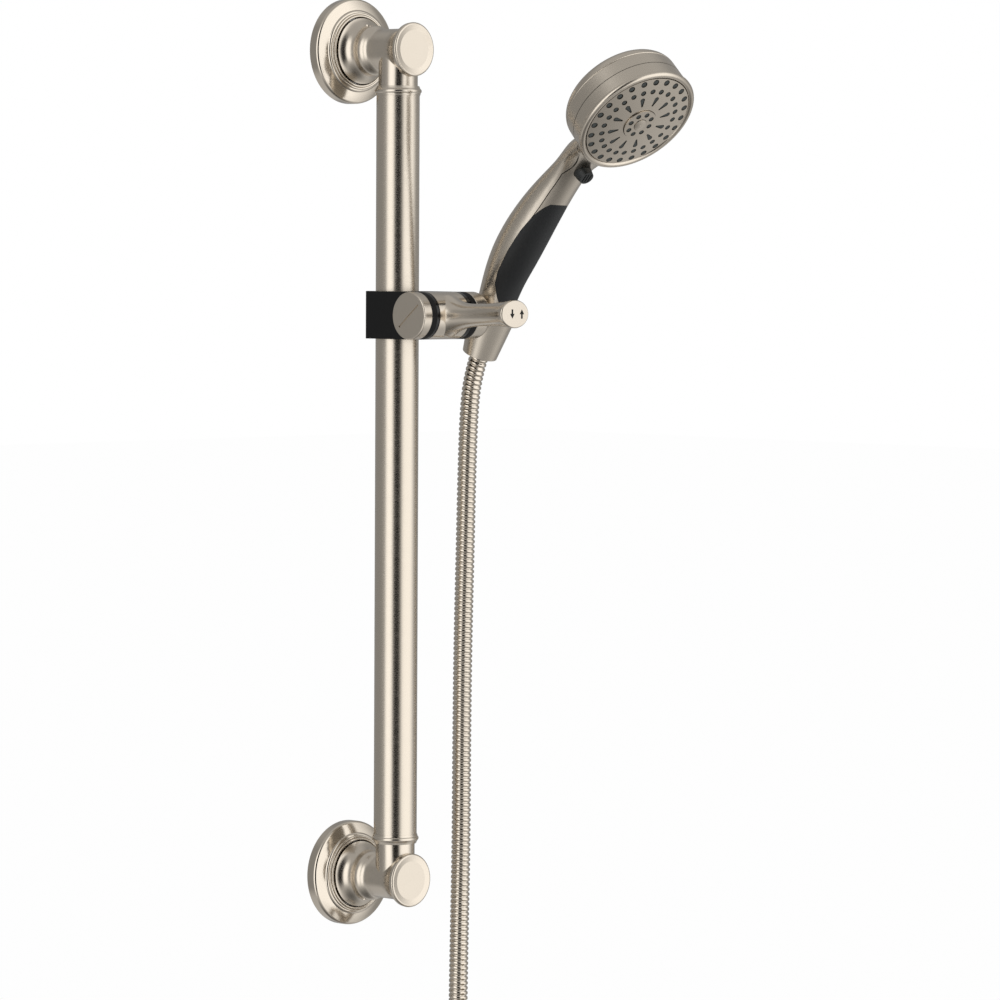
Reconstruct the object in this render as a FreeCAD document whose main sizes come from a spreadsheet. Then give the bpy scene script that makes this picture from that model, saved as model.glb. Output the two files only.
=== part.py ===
# Slide bar set: a wall bar with a sliding cradle, a hand shower with a spray button, and a metal hose.
# Frame: +Z up, wall plane at y = 0 with the room at -Y, origin at the lower flange's centre on the wall.
# Lengths are in millimetres. The driving sizes are cells of the sheet "sizes".
import FreeCAD, Part
import math
import os
import Sketcher
from FreeCAD import Placement, Rotation, Vector

os.makedirs("parts", exist_ok=True)
doc = FreeCAD.newDocument("slide_bar_set")

# ---------------------------------------------------------------- driving sizes
DRIVING = {
    # bar and wall posts
    "post_spacing": 609.6,
    "bar_radius": 15.875,
    "bar_wall": 1.6,
    "bar_reach": 53.6,
    "flange_radius": 38.7,
    "flange_opening": 25.0,
    "cover_wall": 1.6,
    "post_foot": 24.2,
    "post_neck": 15.4,
    "post_rim": 19.5,
    "stub_step": 1.475,
    "stub_top": 27.5,
    "spigot_gap": 0.275,
    "bead_rise": 1.425,
    "boss_radius": 11.0,
    "boss_length": 40.0,
    "plate_radius": 30.0,
    "plate_thick": 4.0,
    "screw_circle": 50.0,
    "screw_hole": 2.75,
    # slider
    "slider_rest": 415.8,
    "cross_reach": 46.4,
    "cross_radius": 17.3,
    "ear_outer": 25.0,
    "ear_far": 21.7,
    "ear_left": 20.5,
    "ear_right": 16.6,
    "barrel_left": 17.0,
    "barrel_right": 12.5,
    "axle_radius": 5.0,
    "cap_thick": 7.65,
    "liner_wall": 1.4,
    "back_reach": 21.0,
    "back_flat": 11.0,
    "lever_reach": 76.0,
    "button_wide": 13.8,
    "button_high": 10.2,
    # cradle
    "cradle_side": 52.0,
    "cradle_tilt": 24.0,
    "sleeve_low": 31.5,
    "sleeve_high": 5.0,
    "sleeve_low_radius": 13.0,
    "sleeve_high_radius": 17.9,
    "seat_low_radius": 10.9,
    "seat_high_radius": 13.9,
    "cradle_liner_wall": 1.0,
    # hand shower
    "turn": -4.9,
    "head_forward": 84.6,
    "head_up": 190.3,
    "face_tilt": 19.8,
    "head_radius": 44.6,
    "bezel_rise": 1.0,
    "plate_inset": 3.6,
    "shell_wall": 2.4,
    "grip_skin": 1.5,
    "outer_ring": 37.4,
    "outer_hole": 2.4,
    "inner_ring": 29.5,
    "inner_hole": 2.1,
    "slot_ring": 20.8,
    "disc_radius": 13.0,
    "disc_ring": 9.0,
    "disc_hole": 2.0,
    "button_radius": 6.2,
    "button_proud": 8.0,
    # hose
    "hose_radius": 7.15,
    "coil_radius": 74.5,
    "end_nut_flats": 24.0,
    "end_thread": 9.6,
    # clearances
    "slide_gap": 0.25,
    "turn_gap": 0.3,
    "seat_gap": 0.3,
}

sheet = doc.addObject("Spreadsheet::Sheet", "sizes")
for row, (alias, value) in enumerate(DRIVING.items(), start=1):
    sheet.set(f"A{row}", alias)
    sheet.set(f"B{row}", str(value))
    sheet.setAlias(f"B{row}", alias)
doc.recompute()


class Size:
    """A length that carries its value and the sheet expression that it comes from."""

    def __init__(self, value, rule):
        self.value = value
        self.rule = rule

    def combine(self, other, sign, value):
        rule = other.rule if isinstance(other, Size) else repr(float(other))
        return Size(value, f"({self.rule} {sign} {rule})")

    def __add__(self, other):
        return self.combine(other, "+", self.value + number(other))

    def __sub__(self, other):
        return self.combine(other, "-", self.value - number(other))

    def __mul__(self, other):
        return self.combine(other, "*", self.value * number(other))

    def __truediv__(self, other):
        return self.combine(other, "/", self.value / number(other))

    def __neg__(self):
        return Size(-self.value, f"(-1 * {self.rule})")


def number(length):
    """The plain value of a Size or of a number."""
    return length.value if isinstance(length, Size) else float(length)


class Sizes:
    """Reads the sheet: s.bar_radius is the Size held in the cell with that alias."""

    def __getattr__(self, alias):
        return Size(float(sheet.get(alias)), f"sizes.{alias}")


s = Sizes()
nodes = []


def bind(thing, prop, length):
    """Sets a property to a length, and ties it to the sheet when the length comes from there."""
    if isinstance(length, Size):
        thing.setExpression(prop, length.rule)
    else:
        setattr(thing, prop, length)


def node(thing, label):
    """Names a finished sub-part, which is then written to parts/LABEL.step."""
    thing.Label = label
    nodes.append(thing)
    return thing


def cylinder(name, radius, height, place=Placement()):
    """A Part cylinder whose radius and height are tied to the sheet."""
    thing = doc.addObject("Part::Cylinder", name)
    bind(thing, "Radius", radius)
    bind(thing, "Height", height)
    thing.Placement = place
    return thing


def cone(name, low_radius, high_radius, height, place=Placement()):
    """A Part cone from low_radius at its foot to high_radius at its top."""
    thing = doc.addObject("Part::Cone", name)
    bind(thing, "Radius1", low_radius)
    bind(thing, "Radius2", high_radius)
    bind(thing, "Height", height)
    thing.Placement = place
    return thing


def box(name, length, width, height, place):
    """A Part box, tied to the sheet, with its lowest corner at the placement."""
    thing = doc.addObject("Part::Box", name)
    bind(thing, "Length", length)
    bind(thing, "Width", width)
    bind(thing, "Height", height)
    thing.Placement = place
    return thing


def fuse(name, pieces):
    """One solid from several overlapping ones."""
    thing = doc.addObject("Part::MultiFuse", name)
    thing.Shapes = pieces
    return thing


def cut(name, base, *tools):
    """The base with each tool taken away in turn."""
    for count, tool in enumerate(tools):
        thing = doc.addObject("Part::Cut", f"{name}_{count}")
        thing.Base = base
        thing.Tool = tool
        base = thing
    return base


def common(name, base, tool):
    """What two solids share."""
    thing = doc.addObject("Part::Common", name)
    thing.Base = base
    thing.Tool = tool
    return thing


def feature(name, shape, place=Placement()):
    """A free form made with Part's own functions."""
    thing = doc.addObject("Part::Feature", name)
    thing.Shape = shape
    thing.Placement = place
    return thing


def plane_of(body, role):
    """One of a body's own origin planes."""
    return next(plane for plane in body.Origin.OriginFeatures if plane.Role == role)


def sketch_on(body, name, role):
    """A sketch on one of a body's origin planes."""
    sketch = body.newObject("Sketcher::SketchObject", name)
    sketch.AttachmentSupport = [(plane_of(body, role), "")]
    sketch.MapMode = "FlatFace"
    return sketch


def pin_point(sketch, edge, end, along, up):
    """Dimensions one sketch vertex from the origin along both axes."""
    for kind, length in (("DistanceX", along), ("DistanceY", up)):
        value = number(length)
        index = sketch.addConstraint(Sketcher.Constraint(kind, -1, 1, edge, end, value))
        if isinstance(length, Size) and abs(value) > 1e-9:
            sketch.setExpression(f"Constraints[{index}]", length.rule)


def draw_outline(sketch, outline):
    """Closed outline. A corner is (along, up); an arc's middle point is ("via", along, up)."""
    corners = [i for i, item in enumerate(outline) if item[0] != "via"]
    first_edge = sketch.GeometryCount
    for count, i in enumerate(corners):
        j = corners[(count + 1) % len(corners)]
        start = Vector(number(outline[i][0]), number(outline[i][1]), 0)
        stop = Vector(number(outline[j][0]), number(outline[j][1]), 0)
        middle = outline[(i + 1) % len(outline)]
        if middle[0] == "via":
            halfway = Vector(number(middle[1]), number(middle[2]), 0)
            sketch.addGeometry(Part.Arc(start, halfway, stop))
        else:
            sketch.addGeometry(Part.LineSegment(start, stop))
    for count, i in enumerate(corners):
        edge = first_edge + count
        curve = sketch.Geometry[edge]
        begins = 1
        if hasattr(curve, "Center"):
            start = Vector(number(outline[i][0]), number(outline[i][1]), 0)
            begins = 1 if sketch.getPoint(edge, 1).distanceToPoint(start) < 1e-4 else 2
        pin_point(sketch, edge, begins, outline[i][0], outline[i][1])
        j = corners[(count + 1) % len(corners)]
        pin_point(sketch, edge, 3 - begins, outline[j][0], outline[j][1])


def turned(name, outline, place=Placement()):
    """A lathe-turned piece: the outline (radius, height) revolved about the body's own Z."""
    body = doc.addObject("PartDesign::Body", name)
    sketch = sketch_on(body, f"{name}_outline", "XZ_Plane")
    draw_outline(sketch, outline)
    doc.recompute()
    revolution = body.newObject("PartDesign::Revolution", f"{name}_revolution")
    revolution.Profile = sketch
    revolution.ReferenceAxis = (sketch, ["V_Axis"])
    revolution.Angle = 360.0
    body.Tip = revolution
    body.Placement = place
    return body


def prism(name, outline, height, place=Placement(), both_ways=False):
    """An outline on the body's XY plane padded along Z."""
    body = doc.addObject("PartDesign::Body", name)
    sketch = sketch_on(body, f"{name}_outline", "XY_Plane")
    draw_outline(sketch, outline)
    doc.recompute()
    pad = body.newObject("PartDesign::Pad", f"{name}_pad")
    pad.Profile = sketch
    pad.Midplane = both_ways
    bind(pad, "Length", height)
    body.Tip = pad
    body.Placement = place
    return body


# ---------------------------------------------------------------- wall posts
OUT_OF_WALL = Rotation(Vector(1, 0, 0), 90)
ALONG_X = Rotation(Vector(0, 1, 0), 90)
UPSIDE_DOWN = Rotation(Vector(1, 0, 0), 180)
FOOT_HEIGHT = 13.4
REACH = number(s.bar_reach)
RIM_HEIGHT = 68.5
CAP_HEIGHT = 71.4
stub_radius = s.bar_radius - s.stub_step
spigot_radius = s.bar_radius - s.bar_wall - s.spigot_gap
bead_radius = s.bar_radius + s.bead_rise
SCREWS = 3
SPIGOT_LENGTH = 32.0
SET_SCREW_OUT = 22.0
SET_SCREW_RADIUS = 2.5
SET_SCREW_LENGTH = 6.0


def flange_cover(end, place):
    """Stepped cover pressed over the bracket, with a cove and two fine beads round its opening."""
    rim = s.flange_radius
    hole = s.flange_opening
    wall = s.cover_wall
    return turned(f"{end}_flange_cover", [
        (rim, 0),
        (rim, 6.0),
        ("via", rim - 0.5, 7.7),
        (rim - 1.9, 8.6),
        ("via", rim - 5.4, 9.8),
        (rim - 8.4, 10.6),
        ("via", rim - 9.5, 12.0),
        (hole + 3.3, 12.2),
        ("via", hole + 2.5, 13.6),
        (hole + 1.6, 13.2),
        ("via", hole + 0.8, 14.5),
        (hole, 14.0),
        (hole, 12.0),
        (hole + 3.0, 10.6),
        (rim - wall - 7.4, 8.9),
        (rim - wall - 2.0, 7.0),
        (rim - wall, 5.6),
        (rim - wall, 0),
    ], place)


def wall_bracket(end, place):
    """Steel plate with three screw holes and the boss that the post slides over."""
    body = doc.addObject("PartDesign::Body", f"{end}_wall_bracket")
    plate_sketch = sketch_on(body, f"{end}_plate_outline", "XY_Plane")
    plate_sketch.addGeometry(Part.Circle(Vector(0, 0, 0), Vector(0, 0, 1), number(s.plate_radius)))
    plate_sketch.addConstraint(Sketcher.Constraint("Coincident", 0, 3, -1, 1))
    index = plate_sketch.addConstraint(Sketcher.Constraint("Radius", 0, number(s.plate_radius)))
    plate_sketch.setExpression(f"Constraints[{index}]", s.plate_radius.rule)
    doc.recompute()
    plate = body.newObject("PartDesign::Pad", f"{end}_plate")
    plate.Profile = plate_sketch
    bind(plate, "Length", s.plate_thick)
    boss_sketch = sketch_on(body, f"{end}_boss_outline", "XY_Plane")
    boss_sketch.addGeometry(Part.Circle(Vector(0, 0, 0), Vector(0, 0, 1), number(s.boss_radius)))
    boss_sketch.addConstraint(Sketcher.Constraint("Coincident", 0, 3, -1, 1))
    index = boss_sketch.addConstraint(Sketcher.Constraint("Radius", 0, number(s.boss_radius)))
    boss_sketch.setExpression(f"Constraints[{index}]", s.boss_radius.rule)
    doc.recompute()
    boss = body.newObject("PartDesign::Pad", f"{end}_boss")
    boss.Profile = boss_sketch
    bind(boss, "Length", s.plate_thick + s.boss_length)
    hole_sketch = sketch_on(body, f"{end}_hole_outline", "XY_Plane")
    circle_radius = s.screw_circle / 2
    first_hole = Part.Circle(Vector(0, number(circle_radius), 0), Vector(0, 0, 1), number(s.screw_hole))
    hole_sketch.addGeometry(first_hole)
    hole_sketch.addConstraint(Sketcher.Constraint("DistanceX", -1, 1, 0, 3, 0.0))
    index = hole_sketch.addConstraint(Sketcher.Constraint("DistanceY", -1, 1, 0, 3, number(circle_radius)))
    hole_sketch.setExpression(f"Constraints[{index}]", circle_radius.rule)
    index = hole_sketch.addConstraint(Sketcher.Constraint("Radius", 0, number(s.screw_hole)))
    hole_sketch.setExpression(f"Constraints[{index}]", s.screw_hole.rule)
    doc.recompute()
    hole = body.newObject("PartDesign::Pocket", f"{end}_screw_hole")
    hole.Profile = hole_sketch
    hole.Type = "ThroughAll"
    hole.Midplane = True
    body.Tip = hole
    doc.recompute()
    ring = body.newObject("PartDesign::PolarPattern", f"{end}_screw_holes")
    ring.Originals = [hole]
    ring.Axis = (hole_sketch, ["N_Axis"])
    ring.Angle = 360.0
    ring.Occurrences = SCREWS
    body.Tip = ring
    body.Placement = place
    return body


def post(end, place, up):
    """Cast post: flared foot, bead, neck, flared rim, and the stub that carries the bar."""
    foot = s.post_foot
    neck = s.post_neck
    body = turned(f"{end}_post_body", [
        (s.boss_radius, s.plate_thick),
        (21.0, s.plate_thick),
        (21.0, FOOT_HEIGHT),
        (foot, FOOT_HEIGHT),
        (foot, FOOT_HEIGHT + 1.9),
        ("via", foot - 4.7, 19.3),
        (foot - 6.4, 26.4),
        (foot - 6.2, 27.2),
        ("via", foot - 5.9, 30.2),
        (foot - 7.2, 33.6),
        ("via", neck + 0.45, 35.6),
        (neck, 38.5),
        (neck, 53.0),
        ("via", neck + 0.7, 60.0),
        (s.post_rim - 0.7, 67.0),
        ("via", s.post_rim - 0.1, 67.7),
        (s.post_rim, RIM_HEIGHT),
        (0, RIM_HEIGHT),
        (0, s.plate_thick + s.boss_length),
        (s.boss_radius, s.plate_thick + s.boss_length),
    ], place)
    stub_place = Placement(place.Base + Vector(0, -REACH, 0), Rotation() if up else UPSIDE_DOWN)
    stub = cylinder(f"{end}_stub", stub_radius, s.stub_top, stub_place)
    spigot = cylinder(f"{end}_spigot", spigot_radius, s.stub_top + SPIGOT_LENGTH, stub_place)
    whole = fuse(f"{end}_post_whole", [body, stub, spigot])
    bore = cylinder(f"{end}_boss_bore", s.boss_radius, s.plate_thick + s.boss_length, place)
    side = -1 if up else 1
    screw_at = place.Base + Vector(0, -SET_SCREW_OUT, 0)
    grub_hole = cylinder(f"{end}_grub_hole", SET_SCREW_RADIUS, 30.0,
                         Placement(screw_at, UPSIDE_DOWN if side < 0 else Rotation()))
    return cut(f"{end}_post", whole, bore, grub_hole)


def set_screw(end, place, up):
    """Hex socket grub screw that locks the post on its boss, from the side away from the bar."""
    turn = UPSIDE_DOWN if up else Rotation()
    way = Vector(0, 0, -1 if up else 1)
    at = place.Base + Vector(0, -SET_SCREW_OUT, 0) + way * number(s.boss_radius)
    grub = cylinder(f"{end}_grub", SET_SCREW_RADIUS, SET_SCREW_LENGTH, Placement(at, turn))
    socket = doc.addObject("Part::Prism", f"{end}_grub_socket")
    socket.Polygon = 6
    socket.Circumradius = 1.4
    socket.Height = 3.0
    socket.Placement = Placement(at + way * (SET_SCREW_LENGTH - 2.5), turn)
    return cut(f"{end}_set_screw", grub, socket)


def post_cap(end, place):
    """Dished disc that closes the post's room side."""
    rim = s.post_rim
    return turned(f"{end}_post_cap", [
        (0, RIM_HEIGHT),
        (rim, RIM_HEIGHT),
        (rim + 0.2, RIM_HEIGHT + 1.2),
        ("via", rim - 0.2, CAP_HEIGHT - 0.4),
        (rim - 1.6, CAP_HEIGHT),
        (rim - 2.4, CAP_HEIGHT - 0.15),
        (rim - 5.4, CAP_HEIGHT - 0.7),
        (0, CAP_HEIGHT - 0.7),
    ], place)


def collar_ring(end, place):
    """Beaded ring round the joint of the stub and the bar."""
    stub = stub_radius
    bar = s.bar_radius
    bead = bead_radius
    top = s.stub_top
    return turned(f"{end}_collar_ring", [
        (stub, top - 1.0),
        (stub + 1.1, top - 1.0),
        (stub + 1.7, top + 0.4),
        (bead - 0.75, top + 1.2),
        ("via", bead, top + 2.7),
        (bead - 0.75, top + 4.2),
        (bar + 0.6, top + 4.8),
        (bar + 0.25, top + 6.0),
        (bar, top + 6.0),
        (bar, top),
        (stub, top),
    ], place)


def wall_gasket(end, place):
    """Foam ring that seals the cover's skirt to the wall."""
    return turned(f"{end}_wall_gasket", [
        (s.plate_radius + 0.8, 0),
        (s.flange_radius - s.cover_wall, 0),
        (s.flange_radius - s.cover_wall, 1.6),
        (s.plate_radius + 0.8, 1.6),
    ], place)


for end, height, up in (("lower", 0.0, True), ("upper", number(s.post_spacing), False)):
    on_wall = Placement(Vector(0, 0, height), OUT_OF_WALL)
    on_bar = Placement(Vector(0, -REACH, height), Rotation() if up else UPSIDE_DOWN)
    node(wall_bracket(end, on_wall), f"{end}_wall_bracket")
    node(wall_gasket(end, on_wall), f"{end}_wall_gasket")
    node(flange_cover(end, on_wall), f"{end}_flange_cover")
    node(post(end, on_wall, up), f"{end}_post")
    node(set_screw(end, on_wall, up), f"{end}_set_screw")
    node(post_cap(end, on_wall), f"{end}_post_cap")
    node(collar_ring(end, on_bar), f"{end}_collar_ring")

bar_foot = Placement(Vector(0, -REACH, number(s.stub_top)), Rotation())
bar_length = s.post_spacing - s.stub_top * 2
bar_outside = cylinder("bar_outside", s.bar_radius, bar_length, bar_foot)
bar_inside = cylinder("bar_inside", s.bar_radius - s.bar_wall, bar_length, bar_foot)
node(cut("bar_tube", bar_outside, bar_inside), "bar_tube")

# ---------------------------------------------------------------- slider on the bar
REST = number(s.slider_rest)
CROSS = Vector(0, -REACH - number(s.cross_reach), REST)
HALF_HIGH = number(s.cross_radius)
BAR_AXIS = Vector(0, -REACH, REST)
liner_inner = s.bar_radius + s.slide_gap
liner_outer = liner_inner + s.liner_wall
body_bore = liner_outer + s.slide_gap
SHOE_RADIUS = 6.5
SHOE_LENGTH = 10.9
WINDOW_HALF = 72.0
SPRING_LENGTH = 3.0
SLOT_LENGTH = 26.0
SLOT_SLANT = -39.0
SLOT_ASIDE = 0.0
BARREL_MIDDLE = 1.0
MARK_DEPTH = 0.4
MARK_HALF = 3.4
MARK_APART = 9.6


def on_cross(along_x):
    """A placement on the cross axis, its Z along the row's +X."""
    return Placement(CROSS + Vector(number(along_x), 0, 0), ALONG_X)


def on_bar_axis(below):
    """A placement on the bar's axis, a distance below the slider's middle."""
    return Placement(BAR_AXIS - Vector(0, 0, number(below)), Rotation())


def shoe_way(start):
    """A placement on the brake's line, from the bar towards the lever, its Z along -Y."""
    return Placement(BAR_AXIS - Vector(0, number(start), 0), OUT_OF_WALL)


def slider_liner():
    """Slippery sleeve between the bar and the slider, with a wide window that the brake shoe swings in."""
    outside = cylinder("liner_outside", liner_outer, s.cross_radius * 2, on_bar_axis(s.cross_radius))
    inside = cylinder("liner_inside", liner_inner, s.cross_radius * 2, on_bar_axis(s.cross_radius))
    half_high = SHOE_RADIUS + 0.4
    turned_back = Rotation(Vector(0, 0, 1), -90 - WINDOW_HALF)
    window_place = Placement(on_bar_axis(half_high).Base, turned_back)
    window = cylinder("liner_window", 30.0, half_high * 2, window_place)
    window.Angle = WINDOW_HALF * 2
    return cut("slider_liner", outside, inside, window)


def slider_body():
    """Moulded block round the bar with chamfered back corners and two ears on the cross axis."""
    ear = s.ear_outer
    far = s.ear_far
    front = -s.cross_reach
    back = s.back_reach
    corner = s.back_reach - (s.ear_outer - s.back_flat)
    block = prism("slider_block", [
        (-ear, front), (far, front), (far, corner),
        (s.back_flat, back), (-s.back_flat, back), (-ear, corner),
    ], s.cross_radius * 2, Placement(BAR_AXIS, Rotation()), both_ways=True)
    ears = cylinder("slider_ears", s.cross_radius, ear + far, on_cross(-ear))
    whole = fuse("slider_whole", [block, ears])
    room_length = s.ear_left + s.ear_right
    barrel_room = cylinder("barrel_room", s.cross_radius + 0.8, room_length, on_cross(-s.ear_left))
    bar_bore = cylinder("bar_bore", body_bore, s.cross_radius * 2, on_bar_axis(s.cross_radius))
    axle_bore = cylinder("axle_bore", s.axle_radius, ear + far, on_cross(-ear))
    brake_bore = cylinder("brake_bore", SHOE_RADIUS + 0.1, s.cross_reach, shoe_way(0))
    return cut("slider_body", whole, barrel_room, bar_bore, axle_bore, brake_bore)


def brake_shoe():
    """Rubber faced plug that the lever's cam presses on the bar."""
    plug = cylinder("shoe_plug", SHOE_RADIUS, SHOE_LENGTH, shoe_way(s.bar_radius - 1.0))
    bar_hollow = cylinder("shoe_hollow", liner_inner, s.cross_radius * 2, on_bar_axis(s.cross_radius))
    return cut("brake_shoe", plug, bar_hollow)


def spring_sleeve(name, radius, wire, length, place):
    """The room that a small compression spring fills: a tube as thick as its wire."""
    outside = cylinder(f"{name}_outside", radius + wire, length, place)
    return cut(name, outside, cylinder(f"{name}_inside", radius - wire, length, place))


def tension_cap():
    """Slotted metal disc that closes the cross axis and sets how stiff the cradle is."""
    radius = s.cross_radius
    thick = s.cap_thick
    disc = turned("tension_disc", [
        (0, 0),
        (radius - 0.1, 0),
        (radius, 0.3),
        (radius, thick - 1.2),
        ("via", radius - 0.35, thick - 0.4),
        (radius - 1.2, thick),
        (0, thick + 0.25),
    ], Placement(CROSS - Vector(number(s.ear_outer), 0, 0), Rotation(Vector(0, 1, 0), -90)))
    slot_turn = Rotation(Vector(1, 0, 0), SLOT_SLANT)
    slot_place = Placement(CROSS - Vector(number(s.ear_outer + thick), 0, 0), slot_turn)
    slot_shift = slot_place.multiply(Placement(Vector(-0.9 + SLOT_ASIDE, -SLOT_LENGTH / 2, -0.8), Rotation()))
    return cut("tension_cap", disc, box("tension_slot", 1.8, SLOT_LENGTH, 1.2, slot_shift))


def washer(name, left, right):
    """Glossy friction ring between an ear and the lever's barrel."""
    radius = s.cross_radius
    length = right - left
    return turned(name, [
        (s.axle_radius, 0),
        (radius - 0.6, 0),
        ("via", radius - 0.1, 0.25),
        (radius, 0.8),
        (radius, length - 0.8),
        ("via", radius - 0.1, length - 0.25),
        (radius - 0.6, length),
        (s.axle_radius, length),
    ], on_cross(left))


def oval(centre, half_wide, half_deep, out, across, points=16, fullness=2.0):
    """A closed smooth section: an oval with one axis along out and the other along across."""
    ring = []
    for count in range(points):
        angle = 2 * math.pi * count / points
        wide = math.copysign(abs(math.cos(angle)) ** (2 / fullness), math.cos(angle))
        deep = math.copysign(abs(math.sin(angle)) ** (2 / fullness), math.sin(angle))
        ring.append(centre + across * (half_wide * wide) + out * (half_deep * deep))
    curve = Part.BSplineCurve()
    curve.interpolate(ring, PeriodicFlag=True)
    return Part.Wire([curve.toShape()])


# how far out along the arm, as a share of its reach, with the half width and half height there as shares of
# the button's, and how far its middle rises and lies to the side
LEVER_STATIONS = [
    (0.10, 0.95, 1.50, 0.0, -2.2), (0.16, 0.94, 1.42, 0.0, -2.0), (0.20, 0.90, 1.25, 0.1, -1.6),
    (0.26, 0.84, 1.06, 0.2, -0.9), (0.36, 0.77, 0.88, 0.4, -0.3), (0.50, 0.69, 0.80, 0.8, 0.0),
    (0.66, 0.69, 0.80, 1.3, 0.0), (0.80, 0.78, 0.85, 1.8, 0.0), (0.90, 0.90, 0.93, 2.0, 0.0),
    (0.955, 0.98, 0.985, 2.1, 0.0), (0.985, 1.00, 1.00, 2.1, 0.0),
]
BUTTON_RISE = LEVER_STATIONS[-1][3]


def lever():
    """Polished arm on a barrel, waisted in the middle, ending in a broad oval thumb button."""
    reach = number(s.lever_reach)
    middle = CROSS + Vector(BARREL_MIDDLE, 0, 0)
    sections = []
    for share, wide, high, rise, side in LEVER_STATIONS:
        centre = middle + Vector(side, -reach * share, rise)
        sections.append(oval(centre, number(s.button_wide) * wide, number(s.button_high) * high,
                             Vector(0, 0, 1), Vector(1, 0, 0)))
    arm = feature("lever_arm", Part.makeLoft(sections, True))
    button_tip = middle - Vector(0, reach * LEVER_STATIONS[-1][0], -BUTTON_RISE)
    crown = []
    for out, shrink in ((0.0, 1.0), (0.6, 0.975), (1.0, 0.93)):
        crown.append(oval(button_tip - Vector(0, out, 0), number(s.button_wide) * shrink,
                          number(s.button_high) * shrink, Vector(0, 0, 1), Vector(1, 0, 0)))
    crown_solid = feature("lever_crown", Part.makeLoft(crown, True))
    length = s.barrel_left + s.barrel_right
    barrel = cylinder("lever_barrel", s.cross_radius, length, on_cross(-s.barrel_left))
    bore = cylinder("lever_bore", s.axle_radius + 1.8, length, on_cross(-s.barrel_left))
    whole = cut("lever_metal", fuse("lever_whole", [arm, crown_solid, barrel]), bore)
    return cut("lever", whole, *[mark_cutter(way) for way in (-1, 1)])


def mark_outline(way):
    """An arrow in the button's face, pointing up for way 1 and down for way -1."""
    return [(-0.85, -way * MARK_HALF), (0.85, -way * MARK_HALF), (0.85, -way * 0.2), (2.3, -way * 0.2),
            (0, way * MARK_HALF), (-2.3, -way * 0.2), (-0.85, -way * 0.2)]


def mark_at(way):
    """Where an arrow lies: the down arrow to the left of the up arrow, in the button's face."""
    face = number(s.lever_reach) * LEVER_STATIONS[-1][0] + 1.0
    spot = CROSS + Vector(BARREL_MIDDLE + 1.8 + way * MARK_APART / 2, -face + MARK_DEPTH, BUTTON_RISE)
    return Placement(spot, OUT_OF_WALL)


def mark_cutter(way):
    """The pocket that an arrow inlay fills."""
    outline = mark_outline(way)
    return prism(f"mark_pocket_{way + 1}", outline if way > 0 else outline[::-1], 2.0, mark_at(way))


def lever_marks():
    """Two dark arrow inlays, flush with the button's face."""
    inlays = []
    for way in (-1, 1):
        outline = mark_outline(way) if way > 0 else mark_outline(way)[::-1]
        inlays.append(prism(f"mark_{way + 1}", outline, MARK_DEPTH, mark_at(way)))
    doc.recompute()
    return feature("lever_marks", Part.makeCompound([inlay.Shape for inlay in inlays]))


def lever_bush():
    """Plastic bush between the lever's barrel and the axle."""
    inner = s.axle_radius + s.turn_gap
    length = s.barrel_left + s.barrel_right
    outside = cylinder("bush_outside", s.axle_radius + 1.8, length, on_cross(-s.barrel_left))
    return cut("lever_bush", outside, cylinder("bush_inside", inner, length, on_cross(-s.barrel_left)))


node(slider_liner(), "slider_liner")
node(slider_body(), "slider_body")
node(brake_shoe(), "brake_shoe")
spring_start = number(s.bar_radius) - 1.0 + SHOE_LENGTH
node(spring_sleeve("brake_spring", 4.2, 0.5, SPRING_LENGTH, shoe_way(spring_start)), "brake_spring")
axle_length = s.ear_outer + s.ear_far + 6.0
node(cylinder("cross_axle", s.axle_radius, axle_length, on_cross(-s.ear_outer)), "cross_axle")
node(tension_cap(), "tension_cap")
node(washer("left_washer", -s.ear_left, -s.barrel_left - s.turn_gap), "left_washer")
node(washer("right_washer", s.barrel_right + s.turn_gap, s.ear_right), "right_washer")
node(lever(), "lever")
node(lever_bush(), "lever_bush")
node(lever_marks(), "lever_marks")

# ---------------------------------------------------------------- cradle
TILT = number(s.cradle_tilt)
SEAT = CROSS + Vector(number(s.cradle_side), 0, 0)
LEANING = Rotation(Vector(1, 0, 0), TILT)
SEAT_FRAME = Placement(SEAT, LEANING)
HAND_FRAME = Placement(SEAT, LEANING.multiply(Rotation(Vector(0, 0, 1), number(s.turn))))
LOW = -number(s.sleeve_low)
HIGH = number(s.sleeve_high)
NECK_START = number(s.ear_far) + number(s.turn_gap)


def in_seat(along, forward=0.0, side=0.0):
    """A placement in the cradle's own frame, whose Z is the cone's axis."""
    return SEAT_FRAME.multiply(Placement(Vector(side, forward, along), Rotation()))


def seat_radius(along):
    """The cone's radius at a height on its axis."""
    low = number(s.seat_low_radius)
    high = number(s.seat_high_radius)
    return low + (high - low) * (along - LOW) / (HIGH - LOW)


def hose_slot(name):
    """The gap on the far side of the sleeve that lets the hose in."""
    wide = number(s.hose_radius) * 2 + 1.0
    return box(name, 30.0, wide, HIGH - LOW + 20.0, in_seat(LOW - 10.0, -wide / 2, 0.0))


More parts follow.
